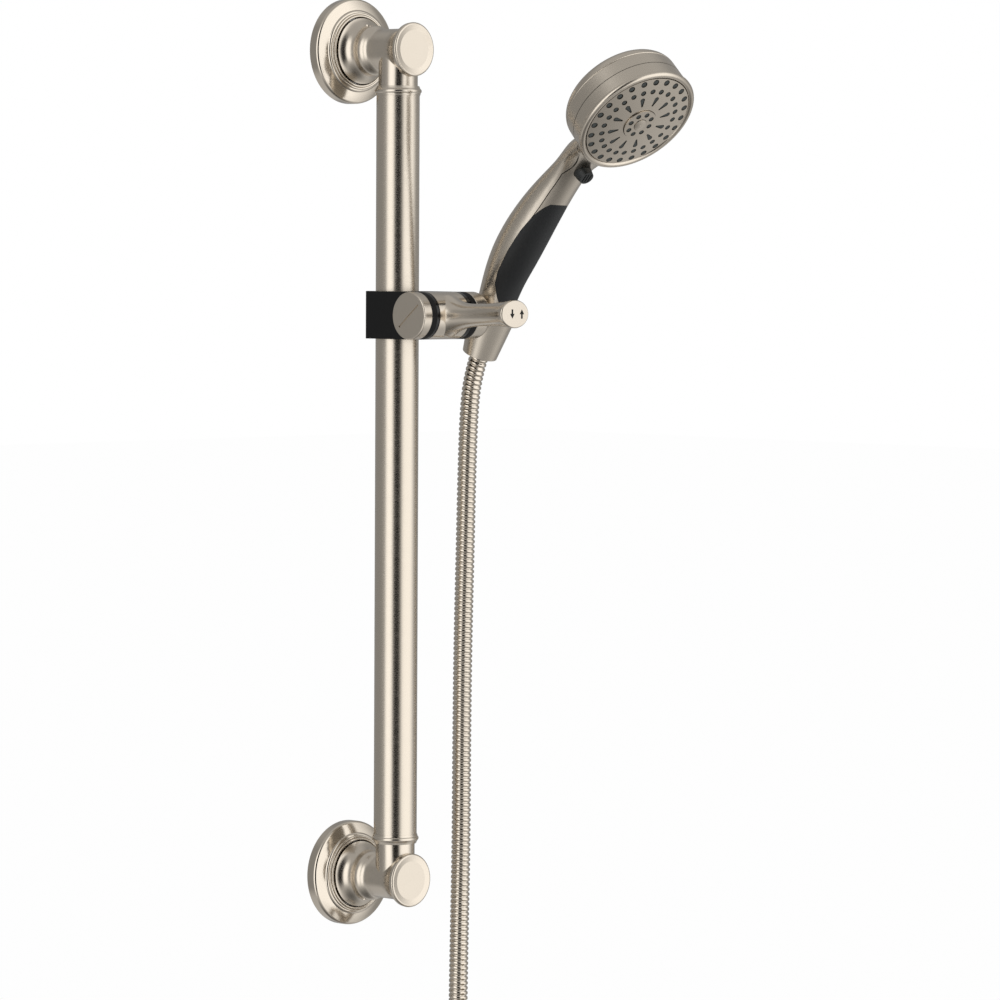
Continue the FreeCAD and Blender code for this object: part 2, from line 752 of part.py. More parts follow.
def cradle():
    """Conical sleeve on a neck that turns about the cross axis, slotted for the hose."""
    length = s.sleeve_low + s.sleeve_high
    wall = s.cradle_liner_wall
    neck = turned("cradle_neck", [
        (0, 0),
        (s.cross_radius - 0.4, 0),
        (s.cross_radius, 0.4),
        (s.cross_radius, 8.5),
        ("via", s.cross_radius - 1.6, 13.2),
        (s.cross_radius - 5.5, 15.3),
        (s.cross_radius - 5.5, 19.3),
        (0, 19.3),
    ], on_cross(NECK_START))
    sleeve = cone("sleeve_outside", s.sleeve_low_radius, s.sleeve_high_radius, length, in_seat(LOW))
    whole = fuse("cradle_whole", [neck, sleeve])
    hollow = cone("sleeve_inside", s.seat_low_radius + wall, s.seat_high_radius + wall, length, in_seat(LOW))
    hand_room = cylinder("hand_room", s.seat_high_radius + 1.4, 30.0, in_seat(HIGH))
    axle_room = cylinder("axle_room", s.axle_radius + s.turn_gap, 8.0, on_cross(NECK_START - 1.0))
    return cut("cradle", whole, hollow, hand_room, hose_slot("sleeve_slot"), axle_room)


def cradle_liner():
    """Thin plastic cone that the hose nut rests in."""
    length = s.sleeve_low + s.sleeve_high
    wall = s.cradle_liner_wall
    outside = cone("seat_outside", s.seat_low_radius + wall, s.seat_high_radius + wall, length, in_seat(LOW))
    inside = cone("seat_inside", s.seat_low_radius, s.seat_high_radius, length, in_seat(LOW))
    return cut("cradle_liner", outside, inside, hose_slot("seat_slot"))


node(cradle(), "cradle")
node(cradle_liner(), "cradle_liner")

# ---------------------------------------------------------------- hand shower
NUT_TOP = -2.0
NUT_FOOT = LOW + 1.0
HANDLE_FOOT = -1.5
HANDLE_FLOOR = 6.0
INLET_RADIUS = 9.5
FRONT = Vector(0, -math.cos(math.radians(number(s.face_tilt))), -math.sin(math.radians(number(s.face_tilt))))
FACE = Vector(0, -number(s.head_forward), number(s.head_up))
UP_FACE = Vector(0, FRONT.z, -FRONT.y)
# height on the cone's axis, how far the middle bends back, half width, half depth, lean in degrees
HANDLE_STATIONS = [
    (HANDLE_FOOT, 0.0, 13.05, 13.05, 0.0),
    (6.0, 0.0, 13.6, 13.6, 0.0),
    (16.0, -0.1, 14.4, 14.3, 2.0),
    (30.0, -0.6, 15.6, 15.5, 5.0),
    (48.0, -3.2, 17.1, 17.0, 10.0),
    (66.0, -7.4, 17.8, 17.0, 15.0),
    (88.0, -14.2, 17.2, 15.6, 20.0),
    (108.0, -22.0, 15.9, 13.4, 24.0),
    (124.0, -29.3, 15.2, 11.0, 27.0),
    (136.0, -35.4, 16.0, 9.6, 30.0),
    (148.0, -43.5, 19.5, 10.0, 38.0),
    (158.0, -54.0, 24.0, 10.0, 52.0),
    (164.0, -63.0, 26.0, 11.0, 64.0),
]
# where the front shell begins: height, and how far ahead of the middle as a share of the half depth
PARTING = [(12.0, 0.91), (19.0, 0.70), (29.0, 0.45), (38.0, 0.375), (57.0, 0.42), (75.0, 0.485), (88.0, 0.60)]
NECK_PARTING = [(97.0, 0.62), (112.0, 0.62), (129.0, 0.62)]
GRIP_TIP = [(94.0, 0.68), (99.0, 0.79), (102.5, 0.90), (104.5, 1.25)]
SEAM = -13.9
BAND_SEAM = -24.1
BEZEL_BACK = -3.6
SEAM_GAP = 0.45


def facing(out, along_up=0.0, side=0.0):
    """A placement on the head's axis, its Z out of the spray face and its X to the side."""
    spot = FACE + FRONT * out + UP_FACE * along_up + Vector(side, 0, 0)
    turn = Rotation(Vector(1, 0, 0), UP_FACE, FRONT, "ZXY")
    return HAND_FRAME.multiply(Placement(spot, turn))


def handle_loft(inset, first=HANDLE_FOOT):
    """The handle's form, drawn in by inset on every side, from the height first upwards."""
    sections = []
    for up, back, wide, deep, lean in HANDLE_STATIONS:
        if up < first:
            continue
        tilt = math.radians(lean)
        out = Vector(0, math.cos(tilt), math.sin(tilt))
        sections.append(oval(Vector(0, back, up), wide - inset, deep - inset, out, Vector(1, 0, 0)))
    return Part.makeLoft(sections, True)


def crown_middle(radius, edge, top):
    """A point halfway along an arc centred on the axis, from its edge at a radius to its top."""
    rise = edge - top
    ball = (radius ** 2 + rise ** 2) / (2 * rise)
    turn = math.asin(radius / abs(ball)) / 2
    return Vector(abs(ball) * math.sin(turn), 0, top + ball * (1 - math.cos(turn)))


def head_form(inset, front):
    """The head's form: a domed back and straight sides up to the height front on its axis."""
    radius = number(s.head_radius) - inset
    back = 37.0 - inset
    band_edge = Vector(radius - 0.5, 0, BAND_SEAM)
    shoulder = Vector(radius - 6.5, 0, -33.2 + inset)
    top = Vector(0, 0, -back)
    outline = [
        Part.LineSegment(Vector(0, 0, front), Vector(radius, 0, front)),
        Part.LineSegment(Vector(radius, 0, front), band_edge),
        Part.Arc(band_edge, Vector(radius - 1.9, 0, -29.0 + inset / 2), shoulder),
        Part.Arc(shoulder, crown_middle(shoulder.x, shoulder.z, top.z), top),
        Part.LineSegment(top, Vector(0, 0, front)),
    ]
    face = Part.Face(Part.Wire([line.toShape() for line in outline]))
    solid = face.revolve(Vector(0, 0, 0), Vector(0, 0, 1), 360)
    solid.Placement = Placement(FACE, Rotation(Vector(1, 0, 0), UP_FACE, FRONT, "ZXY"))
    return solid


def middle_at(up):
    """The handle's middle and half depth at a height, read between its stations."""
    for low, high in zip(HANDLE_STATIONS, HANDLE_STATIONS[1:]):
        if low[0] <= up <= high[0]:
            share = (up - low[0]) / (high[0] - low[0])
            return low[1] + share * (high[1] - low[1]), low[3] + share * (high[3] - low[3])
    raise ValueError(f"{up} is off the handle")


def ahead(up, share):
    """A point ahead of the handle's middle, as a share of its half depth."""
    middle, deep = middle_at(up)
    return Vector(0, middle - share * deep, up)


def side_block(points):
    """Everything ahead of a line seen from the side, as a block across the hand shower."""
    far = [Vector(0, -180, points[-1].z), Vector(0, -180, points[0].z)]
    wire = Part.makePolygon(points + far + [points[0]])
    block = Part.Face(wire).extrude(Vector(140, 0, 0))
    block.translate(Vector(-70, 0, 0))
    return block


def head_edge(out, along_up):
    """A point on the head's side view."""
    return FACE + FRONT * out + UP_FACE * along_up


handle_line = [ahead(up, share) for up, share in PARTING]
neck_line = [ahead(up, share) for up, share in NECK_PARTING]
front_block = side_block(handle_line + neck_line + [head_edge(SEAM, -46.0), head_edge(SEAM, 80.0)])
grip_block = side_block(handle_line + [ahead(up, share) for up, share in GRIP_TIP])
outer_form = handle_loft(0).fuse(head_form(0, BEZEL_BACK))
inner_form = handle_loft(number(s.shell_wall), HANDLE_FLOOR).fuse(head_form(number(s.shell_wall), 0.0))
under_grip = handle_loft(number(s.grip_skin))
shell = outer_form.cut(inner_form)
PRESS_HEIGHT = 134.8
REAR_PRESS_HEIGHT = 138.0


def press_axis(up, ahead_side):
    """A button's placement on the neck's skin, its Z out of the face or out of the back."""
    middle, deep = middle_at(up)
    spot = Vector(0, middle + (-deep if ahead_side else deep), up)
    way = FRONT if ahead_side else FRONT * -1
    return Placement(spot, Rotation(Vector(1, 0, 0), way.cross(Vector(1, 0, 0)), way, "ZXY"))


front_press = press_axis(PRESS_HEIGHT, True)
rear_press = press_axis(REAR_PRESS_HEIGHT, False)
PRESS_IN = 4.0
REAR_PROUD = 2.0


def press_bore(place):
    """The round hole that a button slides in."""
    radius = number(s.button_radius) + number(s.turn_gap)
    bore = Part.makeCylinder(radius, 24.0, Vector(0, 0, -PRESS_IN - 4.0), Vector(0, 0, 1))
    bore.Placement = place
    return bore


groove = Part.makeTorus(number(s.head_radius) - 0.35, 0.5)
groove.Placement = Placement(FACE + FRONT * BAND_SEAM, Rotation(Vector(1, 0, 0), UP_FACE, FRONT, "ZXY"))
grip_shape = outer_form.cut(under_grip).common(grip_block)
inlet_bore = Part.makeCylinder(INLET_RADIUS, 10.0, Vector(0, 0, HANDLE_FOOT - 1.0))
front_room = front_block.copy()
front_room.translate(FRONT * SEAM_GAP)
press_bores = press_bore(rear_press).fuse(press_bore(front_press))
rear_shape = shell.cut(front_block).cut(grip_shape).cut(press_bores).cut(groove).cut(inlet_bore)
front_shape = shell.common(front_block).common(front_room).cut(grip_shape).cut(press_bore(front_press))
node(feature("rear_shell", rear_shape, HAND_FRAME), "rear_shell")
node(feature("front_shell", front_shape, HAND_FRAME), "front_shell")
node(feature("grip_pad", grip_shape, HAND_FRAME), "grip_pad")


def press_button(name, press, proud, tip_share):
    """A round push button with a slightly tapered head, a bead at its base and grip ribs on its end."""
    radius = number(s.button_radius)
    stem = Part.makeCylinder(radius, PRESS_IN + proud * 0.45, Vector(0, 0, -PRESS_IN), Vector(0, 0, 1))
    step = Vector(0, 0, proud * 0.45)
    head = Part.makeCone(radius, radius * tip_share, proud * 0.55, step, Vector(0, 0, 1))
    button = stem.fuse(head).removeSplitter()
    for count in range(3):
        rib_corner = Vector(-0.5 + (count - 1) * 2.4, -radius * 0.55, proud - 0.6)
        rib = Part.makeBox(1.0, radius * 1.1, 0.6, rib_corner)
        button = button.cut(rib)
    return feature(name, button, HAND_FRAME.multiply(press))


def below_press(press, down):
    """A placement inside a button's bore, down from the handle's skin."""
    return HAND_FRAME.multiply(press).multiply(Placement(Vector(0, 0, -down), Rotation()))


PRESS_SPRING = 4.4
node(press_button("front_button", front_press, number(s.button_proud), 0.86), "front_button")
node(press_button("rear_button", rear_press, REAR_PROUD, 0.8), "rear_button")
for name, press in (("front_button_spring", front_press), ("rear_button_spring", rear_press)):
    spring = spring_sleeve(name, 3.6, 0.45, PRESS_SPRING, below_press(press, PRESS_IN + PRESS_SPRING))
    node(spring, name)


plate_edge = s.head_radius - s.plate_inset


def bezel():
    """Polished ring that clamps the spray plate, with a rounded lip."""
    edge = s.head_radius
    lip = s.head_radius + s.bezel_rise
    return turned("head_bezel", [
        (edge - s.shell_wall, BEZEL_BACK),
        (edge, BEZEL_BACK),
        ("via", lip - 0.2, BEZEL_BACK + 0.5),
        (lip, BEZEL_BACK + 1.4),
        ("via", lip - 0.5, BEZEL_BACK + 3.1),
        (lip - 2.1, 0.35),
        ("via", lip - 3.0, 0.3),
        (plate_edge, -0.9),
        (plate_edge, BEZEL_BACK),
    ], facing(0))


DOME = 2.6
PLATE_WALL = 1.6


def dome_height(radius):
    """How far the crowned spray plate stands out at a radius, level with zero at its outer ring of holes."""
    ball = (number(s.outer_ring) ** 2 + DOME ** 2) / (2 * DOME)
    return math.sqrt(ball ** 2 - radius ** 2) - (ball - DOME)


def dome_disc(radius, back, hole=0.0):
    """A crowned disc of even thickness, its skin on the spray face."""
    outer, middle, inner = [Vector(at, 0, dome_height(at)) for at in (radius, (radius + hole) / 2, hole)]
    down = Vector(0, 0, -back)
    wire = [
        Part.LineSegment(inner + down, inner),
        Part.Arc(inner, middle, outer),
        Part.LineSegment(outer, outer + down),
        Part.Arc(outer + down, middle + down, inner + down),
    ]
    face = Part.Face(Part.Wire([edge.toShape() for edge in wire]))
    return face.revolve(Vector(0, 0, 0), Vector(0, 0, 1), 360)


def ring_spots(radius, count, start=0.0):
    """Equally spaced spots on a circle about the head's axis."""
    turns = [start + 2 * math.pi * i / count for i in range(count)]
    return [(Vector(radius * math.sin(turn), radius * math.cos(turn), 0), turn) for turn in turns]


def slot_form(turn, grow, low, high):
    """A radial teardrop, wide end outwards, as a prism between two heights."""
    ring = number(s.slot_ring)
    half = SLOT_HALF
    big = SLOT_WIDE / 2 + grow
    small = SLOT_NARROW / 2 + grow
    outer = Vector(0, ring + half - SLOT_WIDE / 2, low)
    inner = Vector(0, ring - half + SLOT_NARROW / 2, low)
    body = Part.makeCylinder(big, high - low, outer).fuse(Part.makeCylinder(small, high - low, inner))
    wedge = Part.makePolygon([outer + Vector(-big, 0, 0), outer + Vector(big, 0, 0),
                              inner + Vector(small, 0, 0), inner + Vector(-small, 0, 0),
                              outer + Vector(-big, 0, 0)])
    body = body.fuse(Part.Face(wedge).extrude(Vector(0, 0, high - low))).removeSplitter()
    body.rotate(Vector(0, 0, 0), Vector(0, 0, 1), -math.degrees(turn))
    return body


SLOT_HALF = 4.2
SLOT_WIDE = 3.6
SLOT_NARROW = 1.4
NOZZLE_GAP = 0.55
MAT_WALL = 1.4
ring_start = math.radians(-84.9)
slot_start = math.radians(-54.7 - 0.6)
disc_start = math.radians(-39.8)
outer_spots = ring_spots(number(s.outer_ring), 24, ring_start)
inner_spots = ring_spots(number(s.inner_ring), 24, ring_start)
slot_spots = ring_spots(number(s.slot_ring), 12, slot_start)
disc_spots = ring_spots(number(s.disc_ring), 8, disc_start)


def pins(spots, radius, low, high):
    """Upright pins at some spots, as one compound."""
    return [Part.makeCylinder(radius, high - low, spot + Vector(0, 0, low)) for spot, turn in spots]


def spray_plate():
    """Crowned metal finished plate with two rings of round holes and a ring of teardrops."""
    plate = dome_disc(number(plate_edge) - 0.4, PLATE_WALL, number(s.disc_radius))
    holes = pins(outer_spots, number(s.outer_hole), -8, 8) + pins(inner_spots, number(s.inner_hole), -8, 8)
    holes += [slot_form(turn, 0.0, -8, 8) for spot, turn in slot_spots]
    return plate.cut(Part.makeCompound(holes))


def nozzle_mat():
    """Rubber sheet behind the plate with a soft nozzle standing in every hole."""
    mat = dome_disc(number(plate_edge) - 0.6, MAT_WALL, number(s.disc_radius))
    mat.translate(Vector(0, 0, -PLATE_WALL))
    nozzles = []
    for spots, hole in ((outer_spots, s.outer_hole), (inner_spots, s.inner_hole)):
        for spot, turn in spots:
            low = dome_height(spot.Length) - PLATE_WALL - 0.7
            high = dome_height(spot.Length) - 0.25
            nozzles.append(Part.makeCylinder(number(hole) - NOZZLE_GAP, high - low, spot + Vector(0, 0, low)))
    for spot, turn in slot_spots:
        high = dome_height(spot.Length) - 0.3
        nozzles.append(slot_form(turn, -NOZZLE_GAP * 0.8, high - PLATE_WALL - 0.7, high))
    return mat.multiFuse(nozzles)


DISC_PROUD = 0.9
DISC_THICK = 3.2
CAP_RADIUS = 4.75
CAP_FLOOR = Vector(0, 0, 1.6)
CHAMBER_TOP = -5.6
CHAMBER_BACK = -10.0
SELECTOR_PIN = 3.0


def centre_disc():
    """Raised disc in the middle with eight holes and a socket for the centre cap."""
    disc = dome_disc(number(s.disc_radius) - 0.35, DISC_THICK)
    disc.translate(Vector(0, 0, DISC_PROUD))
    stem = Part.makeCylinder(3.5, 7.0, Vector(0, 0, CHAMBER_TOP))
    holes = pins(disc_spots, number(s.disc_hole), -8, 8)
    holes.append(Part.makeCylinder(CAP_RADIUS + 0.3, 3.0, CAP_FLOOR))
    return disc.fuse(stem).cut(Part.makeCompound(holes))


def centre_cap():
    """Plain domed cap over the centre screw."""
    cap = Part.makeCylinder(CAP_RADIUS, 4.0, CAP_FLOOR)
    dome = Part.makeSphere(20.0, Vector(0, 0, 4.4 - 20.0))
    return cap.common(dome)


def centre_nozzles():
    """Eight small jets on a rubber ring under the centre disc."""
    foot = Vector(0, 0, -1.1)
    ring = Part.makeCylinder(11.5, 1.0, foot).cut(Part.makeCylinder(5.6, 1.0, foot))
    jets = pins(disc_spots, number(s.disc_hole) - 0.45, -0.6, 3.0)
    return ring.multiFuse(jets)


def disc_with_holes(radius, low, high, hole, spots, bore=0.0):
    """A flat inner disc with a ring of holes, as used for the chamber and the selector."""
    disc = Part.makeCylinder(radius, high - low, Vector(0, 0, low))
    holes = pins(spots, hole, low - 1, high + 1)
    if bore:
        holes.append(Part.makeCylinder(bore, high - low + 2, Vector(0, 0, low - 1)))
    return disc.cut(Part.makeCompound(holes))


HEAD_FRAME = facing(0)
INNER_HEAD = number(s.head_radius) - number(s.shell_wall)
node(bezel(), "head_bezel")
node(feature("spray_plate", spray_plate(), HEAD_FRAME), "spray_plate")
node(feature("nozzle_mat", nozzle_mat(), HEAD_FRAME), "nozzle_mat")
node(feature("centre_disc", centre_disc(), HEAD_FRAME), "centre_disc")
node(feature("centre_cap", centre_cap(), HEAD_FRAME), "centre_cap")
node(feature("centre_nozzles", centre_nozzles(), HEAD_FRAME), "centre_nozzles")
chamber_spots = ring_spots(28.0, 12) + ring_spots(14.0, 6)
chamber = disc_with_holes(INNER_HEAD - 0.35, CHAMBER_BACK, CHAMBER_TOP, 1.6, chamber_spots)
pin_socket = Part.makeCylinder(SELECTOR_PIN + number(s.turn_gap), 2.6, Vector(0, 0, CHAMBER_BACK))
node(feature("spray_chamber", chamber.cut(pin_socket), HEAD_FRAME), "spray_chamber")
seal = Part.makeTorus(INNER_HEAD - 1.55, 1.2, Vector(0, 0, CHAMBER_BACK - 1.2))
node(feature("head_seal", seal, HEAD_FRAME), "head_seal")
WHEEL_BACK = CHAMBER_BACK - 3.6
selector = disc_with_holes(24.0, WHEEL_BACK, CHAMBER_BACK - 0.6, 2.2, ring_spots(16.0, 3), SELECTOR_PIN)
teeth = pins(ring_spots(24.0, 9), 1.6, WHEEL_BACK - 1, WHEEL_BACK + 5)
node(feature("selector_wheel", selector.cut(Part.makeCompound(teeth)), HEAD_FRAME), "selector_wheel")
selector_pin = Part.makeCylinder(SELECTOR_PIN, 12.0, Vector(0, 0, CHAMBER_BACK + 2.2 - 12.0))
node(feature("selector_pin", selector_pin, HEAD_FRAME), "selector_pin")


INLET_FOOT = -14.2
INLET_TOP = 12.0
TUBE_BORE = 4.2
RESTRICTOR_RADIUS = 6.4


def water_tube():
    """Straight tube that carries the water up the handle."""
    start = Vector(0, -0.6, INLET_TOP + 1.0)
    stop = Vector(0, -13.0, 86.0)
    way = stop - start
    outside = Part.makeCylinder(TUBE_BORE + 1.0, way.Length, start, way)
    return outside.cut(Part.makeCylinder(TUBE_BORE, way.Length, start, way))


def inlet_nipple():
    """Threaded inlet that the hose nut screws on, with a flange inside the handle's foot."""
    stem = Part.makeCylinder(INLET_RADIUS, HANDLE_FLOOR - INLET_FOOT, Vector(0, 0, INLET_FOOT))
    flange = Part.makeCylinder(INLET_RADIUS + 1.1, INLET_TOP - HANDLE_FLOOR, Vector(0, 0, HANDLE_FLOOR))
    nipple = stem.fuse(flange).cut(Part.makeCylinder(TUBE_BORE, 60, Vector(0, 0, -20)))
    return nipple.cut(Part.makeCylinder(RESTRICTOR_RADIUS, 8.0, Vector(0, 0, INLET_FOOT)))


node(feature("water_tube", water_tube(), HAND_FRAME), "water_tube")
node(feature("inlet_nipple", inlet_nipple(), HAND_FRAME), "inlet_nipple")
restrictor_spot = Vector(0, 0, INLET_FOOT + 5.5)
restrictor = Part.makeCylinder(RESTRICTOR_RADIUS, 2.5, restrictor_spot)
restrictor = restrictor.cut(Part.makeCylinder(1.4, 2.5, restrictor_spot))
node(feature("flow_restrictor", restrictor, HAND_FRAME), "flow_restrictor")

# ---------------------------------------------------------------- hose
EXIT = SEAT_FRAME.multVec(Vector(0, 0, NUT_FOOT))


def cone_nut():
    """Conical nut on the hose that seats in the cradle and screws on the inlet."""
    gap = number(s.seat_gap)
    low = seat_radius(NUT_FOOT) - gap
    high = seat_radius(NUT_TOP) - gap
    outside = Part.makeCone(low, high, NUT_TOP - NUT_FOOT, Vector(0, 0, NUT_FOOT))
    thread = Part.makeCylinder(9.8, 40.0, Vector(0, 0, -16.5))
    water = Part.makeCylinder(4.0, 80.0, Vector(0, 0, -60.0))
    return outside.cut(thread).cut(water)


node(feature("cone_nut", cone_nut(), SEAT_FRAME), "cone_nut")
inlet_washer = Part.makeCylinder(9.6, 2.0, Vector(0, 0, -16.5))
inlet_washer = inlet_washer.cut(Part.makeCylinder(4.4, 9, Vector(0, 0, -20)))
node(feature("inlet_washer", inlet_washer, SEAT_FRAME), "inlet_washer")

# the hose's points from the nut down to the coil, chosen by hand: it leaves along the cone and hangs straight
HOSE_POINTS = [
    (52.0, -87.6, 387.9), (52.0, -80.2, 371.2), (52.2, -75.9, 345.0), (52.0, -74.2, 300.0),
    (51.7, -73.0, 240.0), (51.9, -70.8, 170.0), (52.2, -69.8, 95.0), (52.0, -69.9, 20.0),
    (51.8, -68.4, -50.0), (52.0, -67.0, -125.0), (52.0, -66.4, -190.0),
]


def rounded_path(points):
    """Straight runs joined by tangent arcs as large as their runs allow."""
    edges = []
    start = points[0]
    radii = []
    for before, corner, after in zip(points, points[1:], points[2:]):
        back = before - corner
        ahead_way = after - corner
        half_turn = (math.pi - back.getAngle(ahead_way)) / 2
        trim = 0.45 * min(back.Length, ahead_way.Length)
        radii.append(trim / math.tan(half_turn))
        begin = corner + back.normalize() * trim
        finish = corner + ahead_way.normalize() * trim
        bisector = (back + ahead_way).normalize()
        centre_away = radii[-1] / math.cos(half_turn)
        middle = corner + bisector * (centre_away - radii[-1])
        edges.append(Part.LineSegment(start, begin).toShape())
        edges.append(Part.Arc(begin, middle, finish).toShape())
        start = finish
    edges.append(Part.LineSegment(start, points[-1]).toShape())
    return Part.Wire(edges), radii


def tube(path, radius):
    """A solid round tube along a path."""
    first = path.Vertexes[0].Point
    way = path.Edges[0].tangentAt(path.Edges[0].FirstParameter)
    section = Part.Wire([Part.makeCircle(radius, first, way)])
    return path.makePipeShell([section], True, False)


hose_route = [Vector(*point) for point in HOSE_POINTS]
hose_path, hose_radii = rounded_path(hose_route)
hose_radius = number(s.hose_radius)
hose_solid = tube(hose_path, hose_radius)
COIL = number(s.coil_radius)
TURNS = 2
LAY = 14.6
coil_top = hose_route[-1]
coil_centre = coil_top - Vector(0, COIL, 0)
TAIL_LENGTH = 64.0
tail_top = coil_top + Vector(LAY * TURNS, 0, 0)
tail_solid = Part.makeCylinder(hose_radius, TAIL_LENGTH, tail_top, Vector(0, 0, -1))
coil_width = LAY * TURNS + 2 * hose_radius
coil_left = coil_centre - Vector(hose_radius, 0, 0)
coil_solid = Part.makeCylinder(COIL + hose_radius, coil_width, coil_left, Vector(1, 0, 0))
coil_solid = coil_solid.cut(Part.makeCylinder(COIL - hose_radius, coil_width, coil_left, Vector(1, 0, 0)))
coil_solid = coil_solid.cut(hose_solid).cut(tail_solid)
tie_at = coil_centre + Vector(0, 0, -COIL)
TIE_HALF = hose_radius + 1.6
tie_outside = Part.makeBox(coil_width + 3.2, 5.0, 2 * TIE_HALF,
                           tie_at + Vector(-hose_radius - 1.6, -2.5, -TIE_HALF))
tie_solid = tie_outside.cut(Part.makeCylinder(COIL + hose_radius, coil_width, coil_left, Vector(1, 0, 0)).cut(
    Part.makeCylinder(COIL - hose_radius, coil_width, coil_left, Vector(1, 0, 0))))
node(feature("hose", hose_solid), "hose")
node(feature("hose_coil", coil_solid), "hose_coil")
node(feature("hose_tail", tail_solid), "hose_tail")
node(feature("hose_tie", tie_solid), "hose_tie")

hose_length = hose_path.Length + 2 * math.pi * COIL * TURNS + TAIL_LENGTH
print(f"hose length {hose_length:.0f} mm, tightest arc {min(hose_radii):.0f} mm")
print(f"hose volume ratio {hose_solid.Volume / (math.pi * hose_radius ** 2 * hose_path.Length):.4f}")

TAIL_END = Placement(tail_top - Vector(0, 0, TAIL_LENGTH), UPSIDE_DOWN)
FERRULE = 16.0
NUT_HIGH = 15.0
NUT_WALL_AT = 5.0
node(turned("end_ferrule", [
    (0, 0),
    (s.hose_radius + 0.8, 0),
    ("via", s.hose_radius + 1.5, 0.6),
    (s.hose_radius + 1.7, 2.0),
    (s.hose_radius + 1.7, FERRULE),
    (0, FERRULE),
], TAIL_END), "end_ferrule")
nut_top = TAIL_END.multiply(Placement(Vector(0, 0, FERRULE), Rotation()))
corner = s.end_nut_flats / math.sqrt(3)
hexagon = [(corner * math.cos(math.radians(60 * i + 30)), corner * math.sin(math.radians(60 * i + 30)))
           for i in range(6)]
nut_block = prism("end_nut_block", hexagon, NUT_HIGH, nut_top)
nut_bevel = turned("end_nut_bevel", [
    (0, 0),
    (s.end_nut_flats / 2 + 0.2, 0),
    (s.end_nut_flats / 2 + 1.9, 1.0),
    (s.end_nut_flats / 2 + 1.9, NUT_HIGH - 1.0),
    (s.end_nut_flats / 2 + 0.2, NUT_HIGH),
    (0, NUT_HIGH),
], nut_top)
washer_place = nut_top.multiply(Placement(Vector(0, 0, NUT_WALL_AT), Rotation()))
washer_room = cylinder("end_washer_room", s.end_thread - 0.4, 2.0, washer_place)
thread_place = nut_top.multiply(Placement(Vector(0, 0, NUT_WALL_AT + 2.0), Rotation()))
nut_thread = cylinder("end_nut_thread", s.end_thread, NUT_HIGH - NUT_WALL_AT - 2.0, thread_place)
node(cut("end_nut", common("end_nut_form", nut_block, nut_bevel), washer_room, nut_thread), "end_nut")
node(cut("end_washer", cylinder("end_washer_disc", s.end_thread - 0.4, 2.0, washer_place),
         cylinder("end_washer_hole", 5.0, 2.0, washer_place)), "end_washer")

# ---------------------------------------------------------------- check and write
doc.recompute()
for thing in doc.Objects:
    if {"Invalid", "Error"} & set(thing.State):
        raise RuntimeError(f"{thing.Name} did not build: {thing.State}")
for thing in nodes:
    if thing.Shape.isNull() or not thing.Shape.isValid():
        raise RuntimeError(f"{thing.Label} is not a valid shape")
    if any(solid.Volume <= 0 for solid in thing.Shape.Solids) or not thing.Shape.Solids:
        raise RuntimeError(f"{thing.Label} has no solid")
    thing.Shape.exportStep(f"parts/{thing.Label}.step")
print(f"{len(nodes)} sub-parts")
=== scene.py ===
"""A hand shower set: a wall bar on two posts, a slider with a thumb lever and a tilting cradle, the hand shower
and its metal hose."""
import math

import bpy
import numpy as np
from mathutils import Matrix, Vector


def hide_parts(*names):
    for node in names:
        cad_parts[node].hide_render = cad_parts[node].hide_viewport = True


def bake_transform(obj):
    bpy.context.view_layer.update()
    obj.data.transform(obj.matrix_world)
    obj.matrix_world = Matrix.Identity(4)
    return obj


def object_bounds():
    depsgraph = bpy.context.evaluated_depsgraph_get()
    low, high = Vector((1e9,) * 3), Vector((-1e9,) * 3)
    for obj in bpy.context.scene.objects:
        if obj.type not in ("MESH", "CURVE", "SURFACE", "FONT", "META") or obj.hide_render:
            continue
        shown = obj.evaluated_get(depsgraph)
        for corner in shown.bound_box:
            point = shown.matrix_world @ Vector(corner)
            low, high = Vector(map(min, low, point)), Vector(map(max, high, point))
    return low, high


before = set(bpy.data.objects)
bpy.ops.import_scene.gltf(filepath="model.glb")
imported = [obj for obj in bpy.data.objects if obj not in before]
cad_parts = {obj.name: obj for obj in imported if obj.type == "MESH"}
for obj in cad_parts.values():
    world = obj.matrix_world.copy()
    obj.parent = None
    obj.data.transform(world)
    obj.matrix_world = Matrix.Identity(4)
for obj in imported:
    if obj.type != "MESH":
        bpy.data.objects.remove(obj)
cad_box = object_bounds()

# ---------------------------------------------------------------- camera
# A long lens almost level with the slider and to the left of the bar, so that the spray face is seen three
# quarters on. It looks down a little and leans by a fraction of a degree. It stands 3.7 m away.
VIEW_TURN = math.radians(44.52)
VIEW_DROP = math.radians(2.91)
VIEW_ROLL = math.radians(0.288)
LENS_MM = 181.116
SENSOR_MM = 36.0
VIEW_FROM = (-2.53633, -2.74133, 0.46783)
ahead = np.array([math.sin(VIEW_TURN) * math.cos(VIEW_DROP), math.cos(VIEW_TURN) * math.cos(VIEW_DROP),
                  -math.sin(VIEW_DROP)])
level = np.array([math.cos(VIEW_TURN), -math.sin(VIEW_TURN), 0.0])
upright = np.cross(level, ahead)
to_right = level * math.cos(VIEW_ROLL) + upright * math.sin(VIEW_ROLL)
to_top = upright * math.cos(VIEW_ROLL) - level * math.sin(VIEW_ROLL)
lens = bpy.data.cameras.new("camera")
lens.lens = LENS_MM
lens.sensor_width = SENSOR_MM
lens.clip_end = 50.0
camera = bpy.data.objects.new("camera", lens)
place = np.eye(4)
place[:3, 0], place[:3, 1], place[:3, 2] = to_right, to_top, -ahead
place[:3, 3] = VIEW_FROM
camera.matrix_world = Matrix(place.tolist())
bpy.context.scene.collection.objects.link(camera)
bpy.context.scene.camera = camera
bpy.context.scene.view_settings.view_transform = "Standard"

